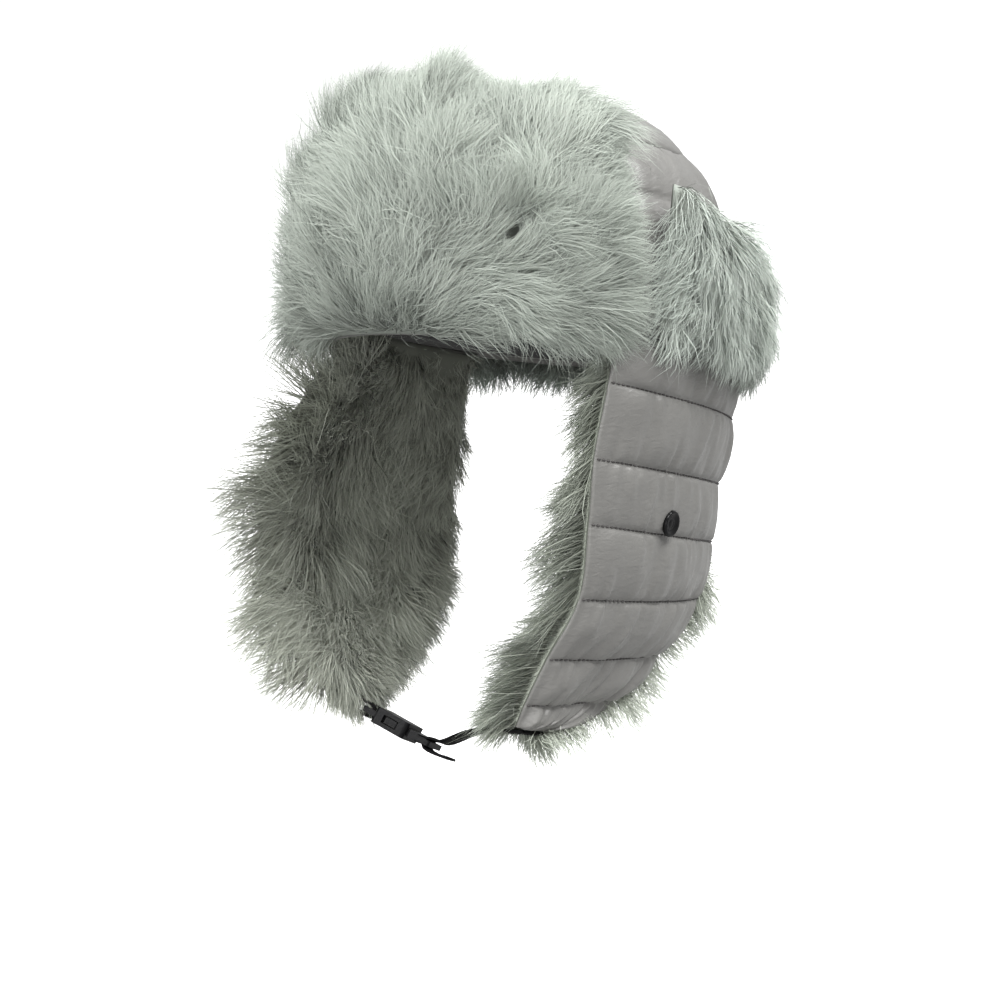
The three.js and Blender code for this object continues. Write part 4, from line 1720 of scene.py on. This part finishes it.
@dataclass
class Furs:
    """The four stretches of long pile."""

    finishes: Finishes

    def pelts(self) -> list[tuple[Pelt, Material]]:
        """List the pelts.

        Returns:
            Each pelt with its material.
        """
        front = Pelt(
            "front_flap_pile",
            "front_flap_fur",
            RaisedPanel(FrontPanel(), carry=0.02),
            FRONT_COMBS,
            (
                Coat("wool", 34000, WOOL, 0.00040, 0.03, 0.0006),
                Coat("loose", 35000, LOOSE, 0.00027, 0.18, 0.0013),
            ),
            seed=11,
            dimple=Dimple(0.52, 0.39, 0.007, 0.95),
            in_pieces=True,
        )
        back = Pelt(
            "back_flap_pile",
            "back_flap_fur",
            RaisedPanel(BackPanel(), carry=0.025),
            BACK_HALF_COMBS + other_side(BACK_HALF_COMBS),
            (
                Coat("wool", 16500, WOOL, 0.00046, 0.00, 0.0009),
                Coat("loose", 18500, LOOSE, 0.00030, 0.14, 0.0016),
            ),
            seed=23,
            undercoat=0.007,
            round_edge=0.010,
            fall=0.24,
        )
        left = Pelt(
            "ear_flap_pile_left",
            "ear_flap_fur_left",
            Lining(EarPanel(Side.LEFT)),
            LEFT_COMBS,
            (
                Coat("wool", 13500, WOOL, 0.00040, 0.0, 0.0007),
                Coat("loose", 13500, LOOSE, 0.00030, 0.16, 0.0014),
            ),
            seed=37,
            undercoat=0.007,
            round_edge=0.008,
            curl=26,
            thin_ends=(0.4, 0.5),
            rounded=False,
            undercoat_shade=0.4,
            to_edges=0.55,
        )
        right = Pelt(
            "ear_flap_pile_right",
            "ear_flap_fur_right",
            Lining(EarPanel(Side.RIGHT)),
            RIGHT_COMBS,
            (
                Coat("wool", 17000, WOOL, 0.00044, 0.0, 0.0006),
                Coat("loose", 17000, LOOSE, 0.00032, 0.20, 0.0014),
            ),
            seed=41,
            undercoat=0.008,
            round_edge=0.010,
            curl=34,
            thin_ends=(0.9, 0.5),
            rounded=False,
            to_edges=0.7,
        )
        finishes = self.finishes
        dressed = finishes.fur, finishes.painted_light_nape, finishes.fringe, finishes.lining
        return list(zip((front, back, left, right), dressed))

    def build(self) -> list[Piece]:
        """Make every pelt."""
        return [piece for pelt, material in self.pelts() for piece in pelt.build(material)]


# Quilted nylon


@dataclass(frozen=True)
class Quilting:
    """How the padding stands between seams, and how the cloth gathers at them."""

    puff: float = 0.0036
    pucker: float = 0.0016
    pucker_length: float = 0.0036
    pucker_reach: float = 0.007
    seam_width: float = 0.0015
    gather: float = 0.0016
    gather_length: float = 0.008
    gather_row: float = 0.05
    gather_shear: float = 0.1
    row_shifts: Pair = (0.37, 0.29)
    crease: float = 0.0016
    slant_cell: Pair = (0.011, 0.034)
    slant_shear: Pair = (0.35, -0.2)
    fold_cell: Pair = (0.026, 0.014)
    fold_shear: Pair = (-0.3, 0.2)
    seed: int = 3

    def height(self, x: Array, y: Array, share: Array, channel: float, row: Array) -> Array:
        """Height of the cloth over the seams' level.

        Args:
            x: Length along the seams.
            y: Length across the seams.
            share: Share of the way across the channel.
            channel: The channel's width.
            row: Which channel each place is in.

        Returns:
            One height for each place.
        """
        padded = self.puff * pillow(share, 0.5)
        from_seam = np.minimum(share, 1 - share) * channel
        nearest = row + (share > 0.5)
        pucker_shift, gather_shift = self.row_shifts
        pucker = Unevenness(self.seed, self.pucker_length, 1.0).at(x + pucker_shift * nearest, nearest * 1.0)
        faded = np.exp(-from_seam / self.pucker_reach) * eased(from_seam / self.seam_width)
        gathers = Unevenness(self.seed + 4, self.gather_length, self.gather_row)
        wave = gathers.at(x + self.gather_shear * y, y + gather_shift * row)
        gathered = self.gather * wave * pillow(share, 0.7)
        slant = self.leaning(1, self.slant_cell, self.slant_shear, x, y)
        fold = self.leaning(2, self.fold_cell, self.fold_shear, x, y)
        creased = self.crease * (0.6 - np.abs(slant) + 0.5 * fold) * pillow(share, 1.0)
        return padded + self.pucker * pucker * faded + gathered + creased

    def leaning(self, step: int, cell: Pair, shear: Pair, x: Array, y: Array) -> Array:
        """Random values from -1 to 1 in cells that lean, the same each time for a step."""
        return Unevenness(self.seed + step, *cell).at(x + shear[0] * y, y + shear[1] * x)


STITCH_SWELL = np.array([0.45, 1.0, 1.0, 0.45])


@dataclass(frozen=True)
class Stitching:
    """A run of stitches: short raised threads laid end to end."""

    pitch: float = 0.0030
    thread: float = 0.0012
    filled: float = 0.72
    raised: float = 0.15

    def add(self, faces: Faces, line: Array, out: Array) -> None:
        """Add stitches along a line.

        Args:
            faces: The mesh to add to.
            line: Points of the line, close together.
            out: Direction out of the cloth at each point.
        """
        steps = np.linalg.norm(np.diff(line, axis=0), axis=1)
        walked = np.concatenate([[0.0], np.cumsum(steps)])
        count = int(walked[-1] / self.pitch)
        sections = np.linspace(0, 1, len(STITCH_SWELL))
        around = np.radians([0, 90, 180, 270])[None, :, None]
        for stitch in range(count):
            at = (stitch + self.filled * sections) * self.pitch
            middle = np.stack([np.interp(at, walked, line[:, k]) for k in range(3)], -1)
            normal = unit(np.stack([np.interp(at, walked, out[:, k]) for k in range(3)], -1))
            way = unit(np.gradient(middle, axis=0))
            wide = np.cross(way, normal)
            radius = (self.thread / 2 * STITCH_SWELL)[:, None, None]
            ring = wide[:, None] * np.cos(around) + normal[:, None] * np.sin(around)
            grid = middle[:, None] + normal[:, None] * self.thread * self.raised + ring * radius
            zero = np.zeros(grid.shape[:2])
            index = faces.add_grid(grid, zero, zero, True, closed=True)
            faces.add_polygons(index[:1], np.zeros((1, 4, 2)))
            faces.add_polygons(index[-1:, ::-1], np.zeros((1, 4, 2)))


SNAP_PROFILE = (
    (0.00, 0.00), (0.90, 0.00), (0.98, 0.25), (1.00, 0.55), (0.96, 0.85), (0.88, 1.00), (0.78, 0.97),
    (0.68, 0.78), (0.50, 0.58), (0.30, 0.50), (0.24, 0.62), (0.12, 0.66), (0.00, 0.66),
)


@dataclass(frozen=True)
class Snap:
    """A snap's cap: a raised rim round a dished middle, after a profile of share out and share up."""

    across: float = -0.21
    along: float = 0.40
    radius: float = 0.0063
    height: float = 0.0024
    seat: float = 0.0027
    points: int = 64

    def build(self, panel: EarPanel, finishes: Finishes) -> Piece:
        """Make the cap.

        Args:
            panel: The flap that it sits on.
            finishes: The hat's materials.

        Returns:
            The piece.
        """
        across, along = np.array([self.across]), np.array([self.along])
        foot = panel.place(across, along, np.array([self.seat]))[0]
        out = panel.away(across, along)[0]
        side = unit(np.cross(out, [0.0, 0.0, 1.0]))
        up = np.cross(out, side)
        turns = np.linspace(0, 2 * pi, self.points, endpoint=False)[:, None]
        ring = side * np.cos(turns) + up * np.sin(turns)
        rows = [foot + ring * far * self.radius + out * up_to * self.height for far, up_to in SNAP_PROFILE]
        grid = np.array(rows)
        zero = np.zeros(grid.shape[:2])
        faces = Faces()
        faces.add_grid(grid, zero, zero, False, closed=True)
        word = panel.side.word
        made = faces.piece(f"snap_{word}", [finishes.snap])
        weld(made)
        return declare(made, f"snap_cap_{word}")


@dataclass
class EarFlap:
    """A quilted ear flap's nylon side with its stitching and its snap."""

    side: Side
    finishes: Finishes
    wall: float = 0.004
    hem: float = 0.012
    hem_share: float = 0.15
    edge_tuck: float = 0.0005
    edge_width: float = 0.0015
    seam_reach: float = 0.985
    seam_points: int = 160
    stitch_rise: float = 0.0002

    def __post_init__(self) -> None:
        """Work out the flap's surface, finer on the side that the photograph shows."""
        self.panel = EarPanel(self.side)
        self.channels = len(self.panel.seams)
        near = self.side is Side.LEFT
        self.columns, self.rows_per_channel = (112, 24) if near else (60, 16)
        self.quilting = Quilting(seed=3 if near else 8)

    def height(self, across: Array, along: Array) -> Array:
        """Height of the nylon over the flap's seams.

        Args:
            across: Shares across the flap.
            along: Shares along the flap.

        Returns:
            One height for each place.
        """
        x, y = self.panel.metres(across, along)
        row = np.minimum(np.floor(along * self.channels), self.channels - 1)
        share = along * self.channels - row
        high = self.quilting.height(x, y, share, self.panel.length / self.channels, row)
        from_edge = self.panel.half_span * (1 - np.abs(across))
        hem = eased(from_edge / self.hem) * (1 - self.hem_share) + self.hem_share
        return high * hem - self.edge_tuck * (1 - eased(from_edge / self.edge_width))

    def shell(self) -> Piece:
        """Make the quilted shell.

        Returns:
            The piece.
        """
        rows = self.rows_per_channel * self.channels
        across, along = np.meshgrid(np.linspace(1, -1, self.columns + 1), np.linspace(0, 1, rows + 1))
        flat = across.ravel(), along.ravel()
        outer = self.panel.place(*flat, self.height(*flat)).reshape(rows + 1, -1, 3)
        inner = self.panel.place(*flat, -self.wall * self.panel.fullness(flat[0])).reshape(rows + 1, -1, 3)
        if self.side is Side.RIGHT:
            outer, inner, across, along = (part[:, ::-1] for part in (outer, inner, across, along))
        faces = Faces()
        faces.add_solid(outer, inner, (across + 1) / 2, along, skip=4)
        made = faces.piece(f"ear_flap_nylon_{self.side.word}", [self.finishes.nylon])
        return declare(made, f"ear_flap_shell_{self.side.word}")

    def stitches(self) -> Piece:
        """Make the stitches along each seam.

        Returns:
            The piece.
        """
        faces = Faces()
        across = np.linspace(-self.seam_reach, self.seam_reach, self.seam_points)
        for seam in range(1, self.channels):
            along = np.full(self.seam_points, seam / self.channels)
            line = self.panel.place(across, along, self.height(across, along) + self.stitch_rise)
            Stitching().add(faces, line, self.panel.away(across, along))
        return declare(faces.piece(f"ear_flap_stitches_{self.side.word}", [self.finishes.thread]))

    def build(self) -> list[Piece]:
        """Make the flap's pieces."""
        return [self.shell(), self.stitches(), Snap().build(self.panel, self.finishes)]


@dataclass
class Crown:
    """The quilted crown, a band of channels and a top, and the nylon backs of the two turned-up flaps."""

    finishes: Finishes
    columns: int = 192
    channels: int = 3
    channel: float = 0.033
    rows_per_channel: int = 18
    top_rows: int = 20
    gap: float = 0.0004
    top_end: float = 0.995
    top_swell: float = 0.25
    top_reach: float = 0.08
    unevenness: float = 0.0004
    back_columns: int = 80
    back_rows: int = 24
    back_wall: float = 0.0025
    quilting: Quilting = Quilting(seed=17, puff=0.0022, gather=0.0008, crease=0.0008)

    def rings(self, last: float, rows: int) -> tuple[Array, Array]:
        """Places round the crown, as the angle and a share that runs from 0 to its last value."""
        turns = np.linspace(0, 2 * pi, self.columns, endpoint=False)
        return np.meshgrid(turns, np.linspace(0, last, rows + 1))

    def band(self) -> Piece:
        """Make the band, with its lining as the inner face.

        Returns:
            The piece.
        """
        turn, share = self.rings(self.channels, self.channels * self.rows_per_channel)
        row = np.minimum(np.floor(share), self.channels - 1)
        walked = share * self.channel
        high = self.quilting.height(turn * DOME.half_depth, walked, share - row, self.channel, row)
        climb = DOME.climb_at(walked)
        outer = DOME.to_world(DOME.point(turn, climb, DOME.wall + high))
        inner = DOME.to_world(DOME.point(turn, climb, np.zeros(turn.shape)))
        faces = Faces()
        faces.add_solid(outer, inner, turn / (2 * pi), share / self.channels, closed=True, skip=3)
        made = faces.piece("crown_band_nylon", [self.finishes.nylon, self.finishes.inside])
        return declare(made, "crown_band")

    def top(self) -> Piece:
        """Make the top, puffed like one more channel.

        Returns:
            The piece.
        """
        start = DOME.climb_at(np.array([self.channels * self.channel + self.gap]))[0]
        turn, share = self.rings(self.top_end, self.top_rows)
        climb = start + (pi / 2 - start) * share
        x, y = turn * DOME.half_depth * (1 - share), share * self.top_reach
        creased = self.unevenness * Unevenness(61, 0.02, 0.012).at(x + y, y - x) * (1 - share)
        high = self.quilting.puff * np.minimum(1, share / self.top_swell) ** 0.5 + creased
        outer = DOME.to_world(DOME.point(turn, climb, DOME.wall + high))
        inner = DOME.to_world(DOME.point(turn, climb, np.zeros(turn.shape)))
        faces = Faces()
        out = faces.add_grid(outer, turn / (2 * pi), share, False, closed=True)
        back = faces.add_grid(inner, turn / (2 * pi), share, True, closed=True, finish=1)
        faces.add_edge(np.append(out[0], out[0, 0]), np.append(back[0], back[0, 0]), flip=True)
        faces.add_polygons(out[-1:], np.zeros((1, self.columns, 2)))
        faces.add_polygons(back[-1:, ::-1], np.zeros((1, self.columns, 2)), 1)
        made = faces.piece("crown_top_nylon", [self.finishes.nylon, self.finishes.inside])
        return declare(made, "crown_top")

    def backing(self, panel: Panel, name: str) -> Piece:
        """Make the nylon back of a turned-up flap.

        Args:
            panel: The flap's surface.
            name: Name of the flap.

        Returns:
            The piece.
        """
        columns = np.linspace(-1, 1, self.back_columns + 1)
        across, along = np.meshgrid(columns, np.linspace(0, 1, self.back_rows + 1))
        dents = self.unevenness * Unevenness(71, 0.012, 0.012).at(*panel.metres(across, along))
        outer = panel.place(across, along, self.back_wall + dents)
        inner = panel.place(across, along, 0.0 * across)
        faces = Faces()
        faces.add_solid(outer, inner, (across + 1) / 2, along, skip=2)
        made = faces.piece(f"{name}_nylon", [self.finishes.nylon])
        return declare(made, f"{name}_shell")

    def build(self) -> list[Piece]:
        """Make the crown's pieces and the backs of the two turned-up flaps."""
        made = [self.band(), self.top()]
        return [*made, self.backing(FrontPanel(), "front_flap"), self.backing(BackPanel(), "back_flap")]


# Chin strap and buckle


@dataclass(frozen=True)
class BuckleFrame:
    """The buckle's place: x along the strap, y across it and z out from the skin, in metres."""

    place: Triple = (-0.040, -0.095, -0.163)
    way: Triple = (0.94, 0.0, -0.34)
    outwards: Triple = (-0.33, -0.45, -0.83)
    socket_bar: float = 0.0013
    clip_bar: float = 0.0353
    round_bar: float = 0.00284

    def axes(self) -> tuple[Array, Array, Array]:
        """Directions at the buckle.

        Returns:
            The ways along the strap, across it and out from the skin.
        """
        along = unit(np.array(self.way))
        across = unit(np.cross(self.outwards, along))
        return along, across, np.cross(along, across)

    def at(self, x: float, z: float) -> Array:
        """The point at a distance along the strap and out from the skin."""
        along, _, out = self.axes()
        return np.array(self.place) + along * x + out * z

    def turn(self, bar: float, facing: int) -> list[Array]:
        """Half a turn of webbing round a bar, from its skin side to its outer side.

        Args:
            bar: Distance of the bar along the strap.
            facing: Which way the turn bulges, 1 or -1.

        Returns:
            Five points of the turn.
        """
        reach = self.round_bar
        angles = [radians(angle) for angle in (-90, -45, 0, 45, 90)]
        return [self.at(bar - facing * reach * cos(angle), reach * sin(angle)) for angle in angles]


@dataclass
class Strap:
    """Ribbed webbing from an ear flap's tip to the buckle and round its bar."""

    side: Side
    finishes: Finishes
    width: float = 0.015
    wall: float = 0.0014
    ribs: int = 9
    rib_height: float = 0.00016
    weave: float = 0.0022
    columns: int = 28
    rows: int = 110
    turned_by: float = 0.3
    path_steps: int = 48
    flatness: float = 1.12
    selvedge: float = 2.2
    selvedge_power: float = 0.6
    pick_height: float = 0.00006

    def tip(self, inwards: float, downwards: float) -> Array:
        """A point by the middle of the flap's lower edge.

        Args:
            inwards: Distance into the flap from its face.
            downwards: Distance past its edge.

        Returns:
            The point.
        """
        panel = EarPanel(self.side)
        front, back = panel.held(np.array([-1.0, 1.0]), np.array([1.0, 1.0]))
        above = panel.held(np.array([-1.0]), np.array([0.97]))[0]
        edge = unit(back - front)
        down = front - above
        down = unit(down - edge * (down @ edge))
        out = panel.outward(np.array([0.0]), np.array([1.0]))[0]
        return ((front + back) / 2 - out * inwards + down * downwards) * panel.mirror

    def tip_edge(self) -> Array:
        """The way from the back to the front of the flap's tip."""
        front, back = EarPanel(self.side).held(np.array([-1.0, 1.0]), np.array([1.0, 1.0]))
        return unit(front - back) * EarPanel(self.side).mirror

    def path(self) -> Array:
        """Points that the webbing follows.

        Returns:
            The points, from the flap's tip to the strap's end.
        """
        buckle = BuckleFrame()
        bar, clip, socket = buckle.round_bar, buckle.clip_bar, buckle.socket_bar
        if self.side is Side.LEFT:
            points = [
                self.tip(-0.0005, 0.0012),
                self.tip(0.0015, 0.0025),
                np.array([0.018, -0.095, -0.164]),
                buckle.at(clip + 0.005, -bar - 0.0015),
                *buckle.turn(clip, 1),
                buckle.at(clip + 0.0055, bar - 0.0003),
                buckle.at(clip + 0.011, bar - 0.0015),
            ]
        else:
            points = [
                self.tip(-0.0005, 0.0015),
                self.tip(0.0015, 0.0025),
                buckle.at(socket - 0.004, -bar),
                *buckle.turn(socket, -1),
                buckle.at(socket - 0.005, bar - 0.0004),
            ]
        return np.array(points)

    def walked(self, path: Array) -> tuple[Array, Array]:
        """Points and ways of a smooth curve through a path, evenly laid.

        Args:
            path: Points that the curve passes through.

        Returns:
            One point and one unit way for each row of the webbing.
        """
        gaps = np.sqrt(np.linalg.norm(np.diff(path, axis=0), axis=1))
        knots = np.concatenate([[0.0], np.cumsum(gaps)])
        ends = np.array([2 * path[0] - path[1], 2 * path[-1] - path[-2]])
        padded = np.vstack([ends[:1], path, ends[1:]])
        times = np.concatenate([[-gaps[0]], knots, [knots[-1] + gaps[-1]]])
        slopes = (padded[2:] - padded[:-2]) / (times[2:] - times[:-2])[:, None]
        fine = np.linspace(0, knots[-1], self.path_steps * len(path))
        index = np.clip(np.searchsorted(knots, fine, side="right") - 1, 0, len(path) - 2)
        step = (knots[index + 1] - knots[index])[:, None]
        share = (fine - knots[index])[:, None] / step
        near, far = path[index], path[index + 1]
        square, cube = share**2, share**3
        curve = (2 * cube - 3 * square + 1) * near + (3 * square - 2 * cube) * far
        leave, arrive = step * slopes[index], step * slopes[index + 1]
        curve += (cube - 2 * square + share) * leave + (cube - square) * arrive
        lengths = np.concatenate([[0.0], np.cumsum(np.linalg.norm(np.diff(curve, axis=0), axis=1))])
        even = np.linspace(0, lengths[-1], self.rows + 1)
        points = np.stack([np.interp(even, lengths, curve[:, k]) for k in range(3)], -1)
        return points, unit(np.gradient(points, axis=0))

    def build(self) -> list[Piece]:
        """Make the strap as ribbed webbing with rounded selvedges.

        Returns:
            The piece, in a list.
        """
        points, ways = self.walked(self.path())
        share = np.linspace(0, 1, self.rows + 1)
        blend = np.minimum(1, share / self.turned_by)[:, None]
        across = BuckleFrame().axes()[1]
        wide = unit(self.tip_edge() * (1 - blend) + across * blend)
        wide = unit(wide - ways * (wide * ways).sum(1, keepdims=True))
        out = np.cross(wide, ways)
        around = np.linspace(0, 2 * pi, self.columns, endpoint=False)
        flat = np.clip(np.cos(around) * self.flatness, -1, 1)
        rib = self.rib_height * np.cos(flat * pi * self.ribs)
        length = np.linalg.norm(np.diff(points, axis=0), axis=1).sum()
        row = np.cumsum(np.full(self.rows + 1, 1.0 / self.weave / self.rows)) * length
        pick = self.pick_height * np.cos(row[:, None] * 2 * pi + flat[None] * pi * self.ribs)
        rounded = np.minimum(1, np.abs(np.sin(around)) * self.selvedge) ** self.selvedge_power
        rise = np.sign(np.sin(around)) * rounded
        half = rise[None] * (self.wall / 2 - self.rib_height + rib[None] + pick)
        grid = points[:, None] + wide[:, None] * (flat[None] * self.width / 2)[..., None]
        grid = grid + out[:, None] * half[..., None]
        faces = Faces()
        u = np.broadcast_to(around / (2 * pi), half.shape)
        v = np.broadcast_to(share[:, None], half.shape)
        index = faces.add_grid(grid, u, v, False, closed=True)
        caps = np.zeros((1, self.columns, 2))
        faces.add_polygons(index[:1, ::-1], caps)
        faces.add_polygons(index[-1:], caps)
        made = faces.piece(f"webbing_{self.side.word}", [self.finishes.webbing])
        weld(made)
        return [declare(made, f"strap_{self.side.word}")]


def dress_buckle(finishes: Finishes) -> None:
    """Give the buckle's two solids their plastic.

    Args:
        finishes: The hat's materials.
    """
    for name in ("buckle_socket", "buckle_clip"):
        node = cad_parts[name]
        node.data.materials.clear()
        node.data.materials.append(finishes.plastic)


# Studio


@dataclass(frozen=True)
class Lamp:
    """A soft square lamp that looks at the hat."""

    name: str
    place: Triple
    side: float
    power: float
    target: Triple = (0.0, 0.0, -0.03)

    def hang(self) -> None:
        """Add the lamp to the scene."""
        data = bpy.data.lights.new(self.name, "AREA")
        data.shape = "SQUARE"
        data.size = self.side
        data.energy = self.power
        made = bpy.data.objects.new(self.name, data)
        made.location = self.place
        made.rotation_euler = (Vector(self.target) - made.location).to_track_quat("-Z", "Y").to_euler()
        bpy.context.scene.collection.objects.link(made)


LAMPS = (
    Lamp("key_light", (-0.8, -1.9, 1.5), 1.2, 56),
    Lamp("front_light", (0.9, -1.9, 0.4), 1.0, 8),
    Lamp("fill_light", (1.5, -0.7, 2.3), 1.0, 44),
    Lamp("top_light", (0.1, 0.3, 2.2), 1.6, 24),
    Lamp("side_light", (1.6, 0.9, 2.2), 1.0, 50),
)


@dataclass(frozen=True)
class Studio:
    """Camera, floor and lights."""

    azimuth: float = radians(27)
    elevation: float = radians(12)
    distance: float = 1.5
    focal_pixels: float = 3138.0
    image_side: float = 1001.0
    origin_pixel: Pair = (539.0, 342.0)
    sensor: float = 36.0
    floor_half: float = 9.0
    floor_level: float = -0.30
    floor_tones: Pair = (0.93, 0.96)
    floor_bounce: Colour = (0.28, 0.28, 0.28)
    floor_glow: float = 0.45
    world_strength: float = 0.54

    def camera(self) -> None:
        """Place the camera as the photograph's."""
        flat = cos(self.elevation)
        back = Vector((sin(self.azimuth) * flat, -cos(self.azimuth) * flat, sin(self.elevation)))
        straight = (-back).to_track_quat("-Z", "Y")
        to_right, to_top = straight @ Vector((1, 0, 0)), straight @ Vector((0, 1, 0))
        scale = self.distance / self.focal_pixels
        half = self.image_side / 2
        right, top = half - self.origin_pixel[0], half - self.origin_pixel[1]
        aim = to_right * right * scale - to_top * top * scale
        data = bpy.data.cameras.new("studio_camera")
        data.sensor_width = self.sensor
        data.lens = self.focal_pixels * self.sensor / self.image_side
        made = bpy.data.objects.new("studio_camera", data)
        made.location = back * self.distance
        made.rotation_euler = (aim - made.location).to_track_quat("-Z", "Y").to_euler()
        bpy.context.scene.collection.objects.link(made)
        bpy.context.scene.camera = made

    def floor(self) -> None:
        """Make the pale floor."""
        ends = (-self.floor_half, self.floor_half)
        grid = np.array([[[x, y, self.floor_level] for x in ends] for y in ends])
        zero = np.zeros((2, 2))
        faces = Faces()
        faces.add_grid(grid, zero, zero, False)
        material, nodes, shader = start_material(
            "pale_floor", Roughness=0.9, Specular_IOR_Level=0.1, Emission_Color=(1.0, 1.0, 1.0, 1.0)
        )
        speckle = nodes.add("TexNoise", Scale=3.0, Detail=2.0)
        nodes.link(nodes.add("TexCoord").outputs["Object"], speckle.inputs["Vector"])
        seen = nodes.add("LightPath").outputs["Is Camera Ray"]
        pale = nodes.blend(speckle.outputs[0], *((tone, tone, tone) for tone in self.floor_tones))
        nodes.link(nodes.blend(seen, self.floor_bounce, pale), shader.inputs["Base Color"])
        nodes.link(nodes.sum("MULTIPLY", seen, self.floor_glow), shader.inputs["Emission Strength"])
        faces.piece("studio_floor", [material])

    def sky(self) -> None:
        """Light the scene softly from all sides, before a white background."""
        world = bpy.data.worlds.new("studio_world")
        world.use_nodes = True
        nodes = Nodes(world.node_tree)
        shade = world.node_tree.nodes["Background"]
        shade.inputs["Color"].default_value = (1.0, 1.0, 1.0, 1.0)
        seen = nodes.add("LightPath").outputs["Is Camera Ray"]
        nodes.link(nodes.sum("MAXIMUM", seen, self.world_strength), shade.inputs["Strength"])
        bpy.context.scene.world = world

    def build(self) -> None:
        """Set up the whole studio."""
        self.camera()
        self.floor()
        for lamp in LAMPS:
            lamp.hang()
        self.sky()
        bpy.context.scene.view_settings.view_transform = "Standard"


def main() -> None:
    """Build the studio and each part of the hat."""
    logging.basicConfig(level=logging.INFO, format="%(message)s")
    Studio().build()
    finishes = Finishes()
    made = Crown(finishes).build()
    for side in Side:
        made += EarFlap(side, finishes).build()
    made += Furs(finishes).build()
    for side in Side:
        made += Strap(side, finishes).build()
    dress_buckle(finishes)
    for piece in made:
        LOG.info("%s: %d faces", piece.name, len(piece.data.polygons))


if __name__ == "__main__":
    main()
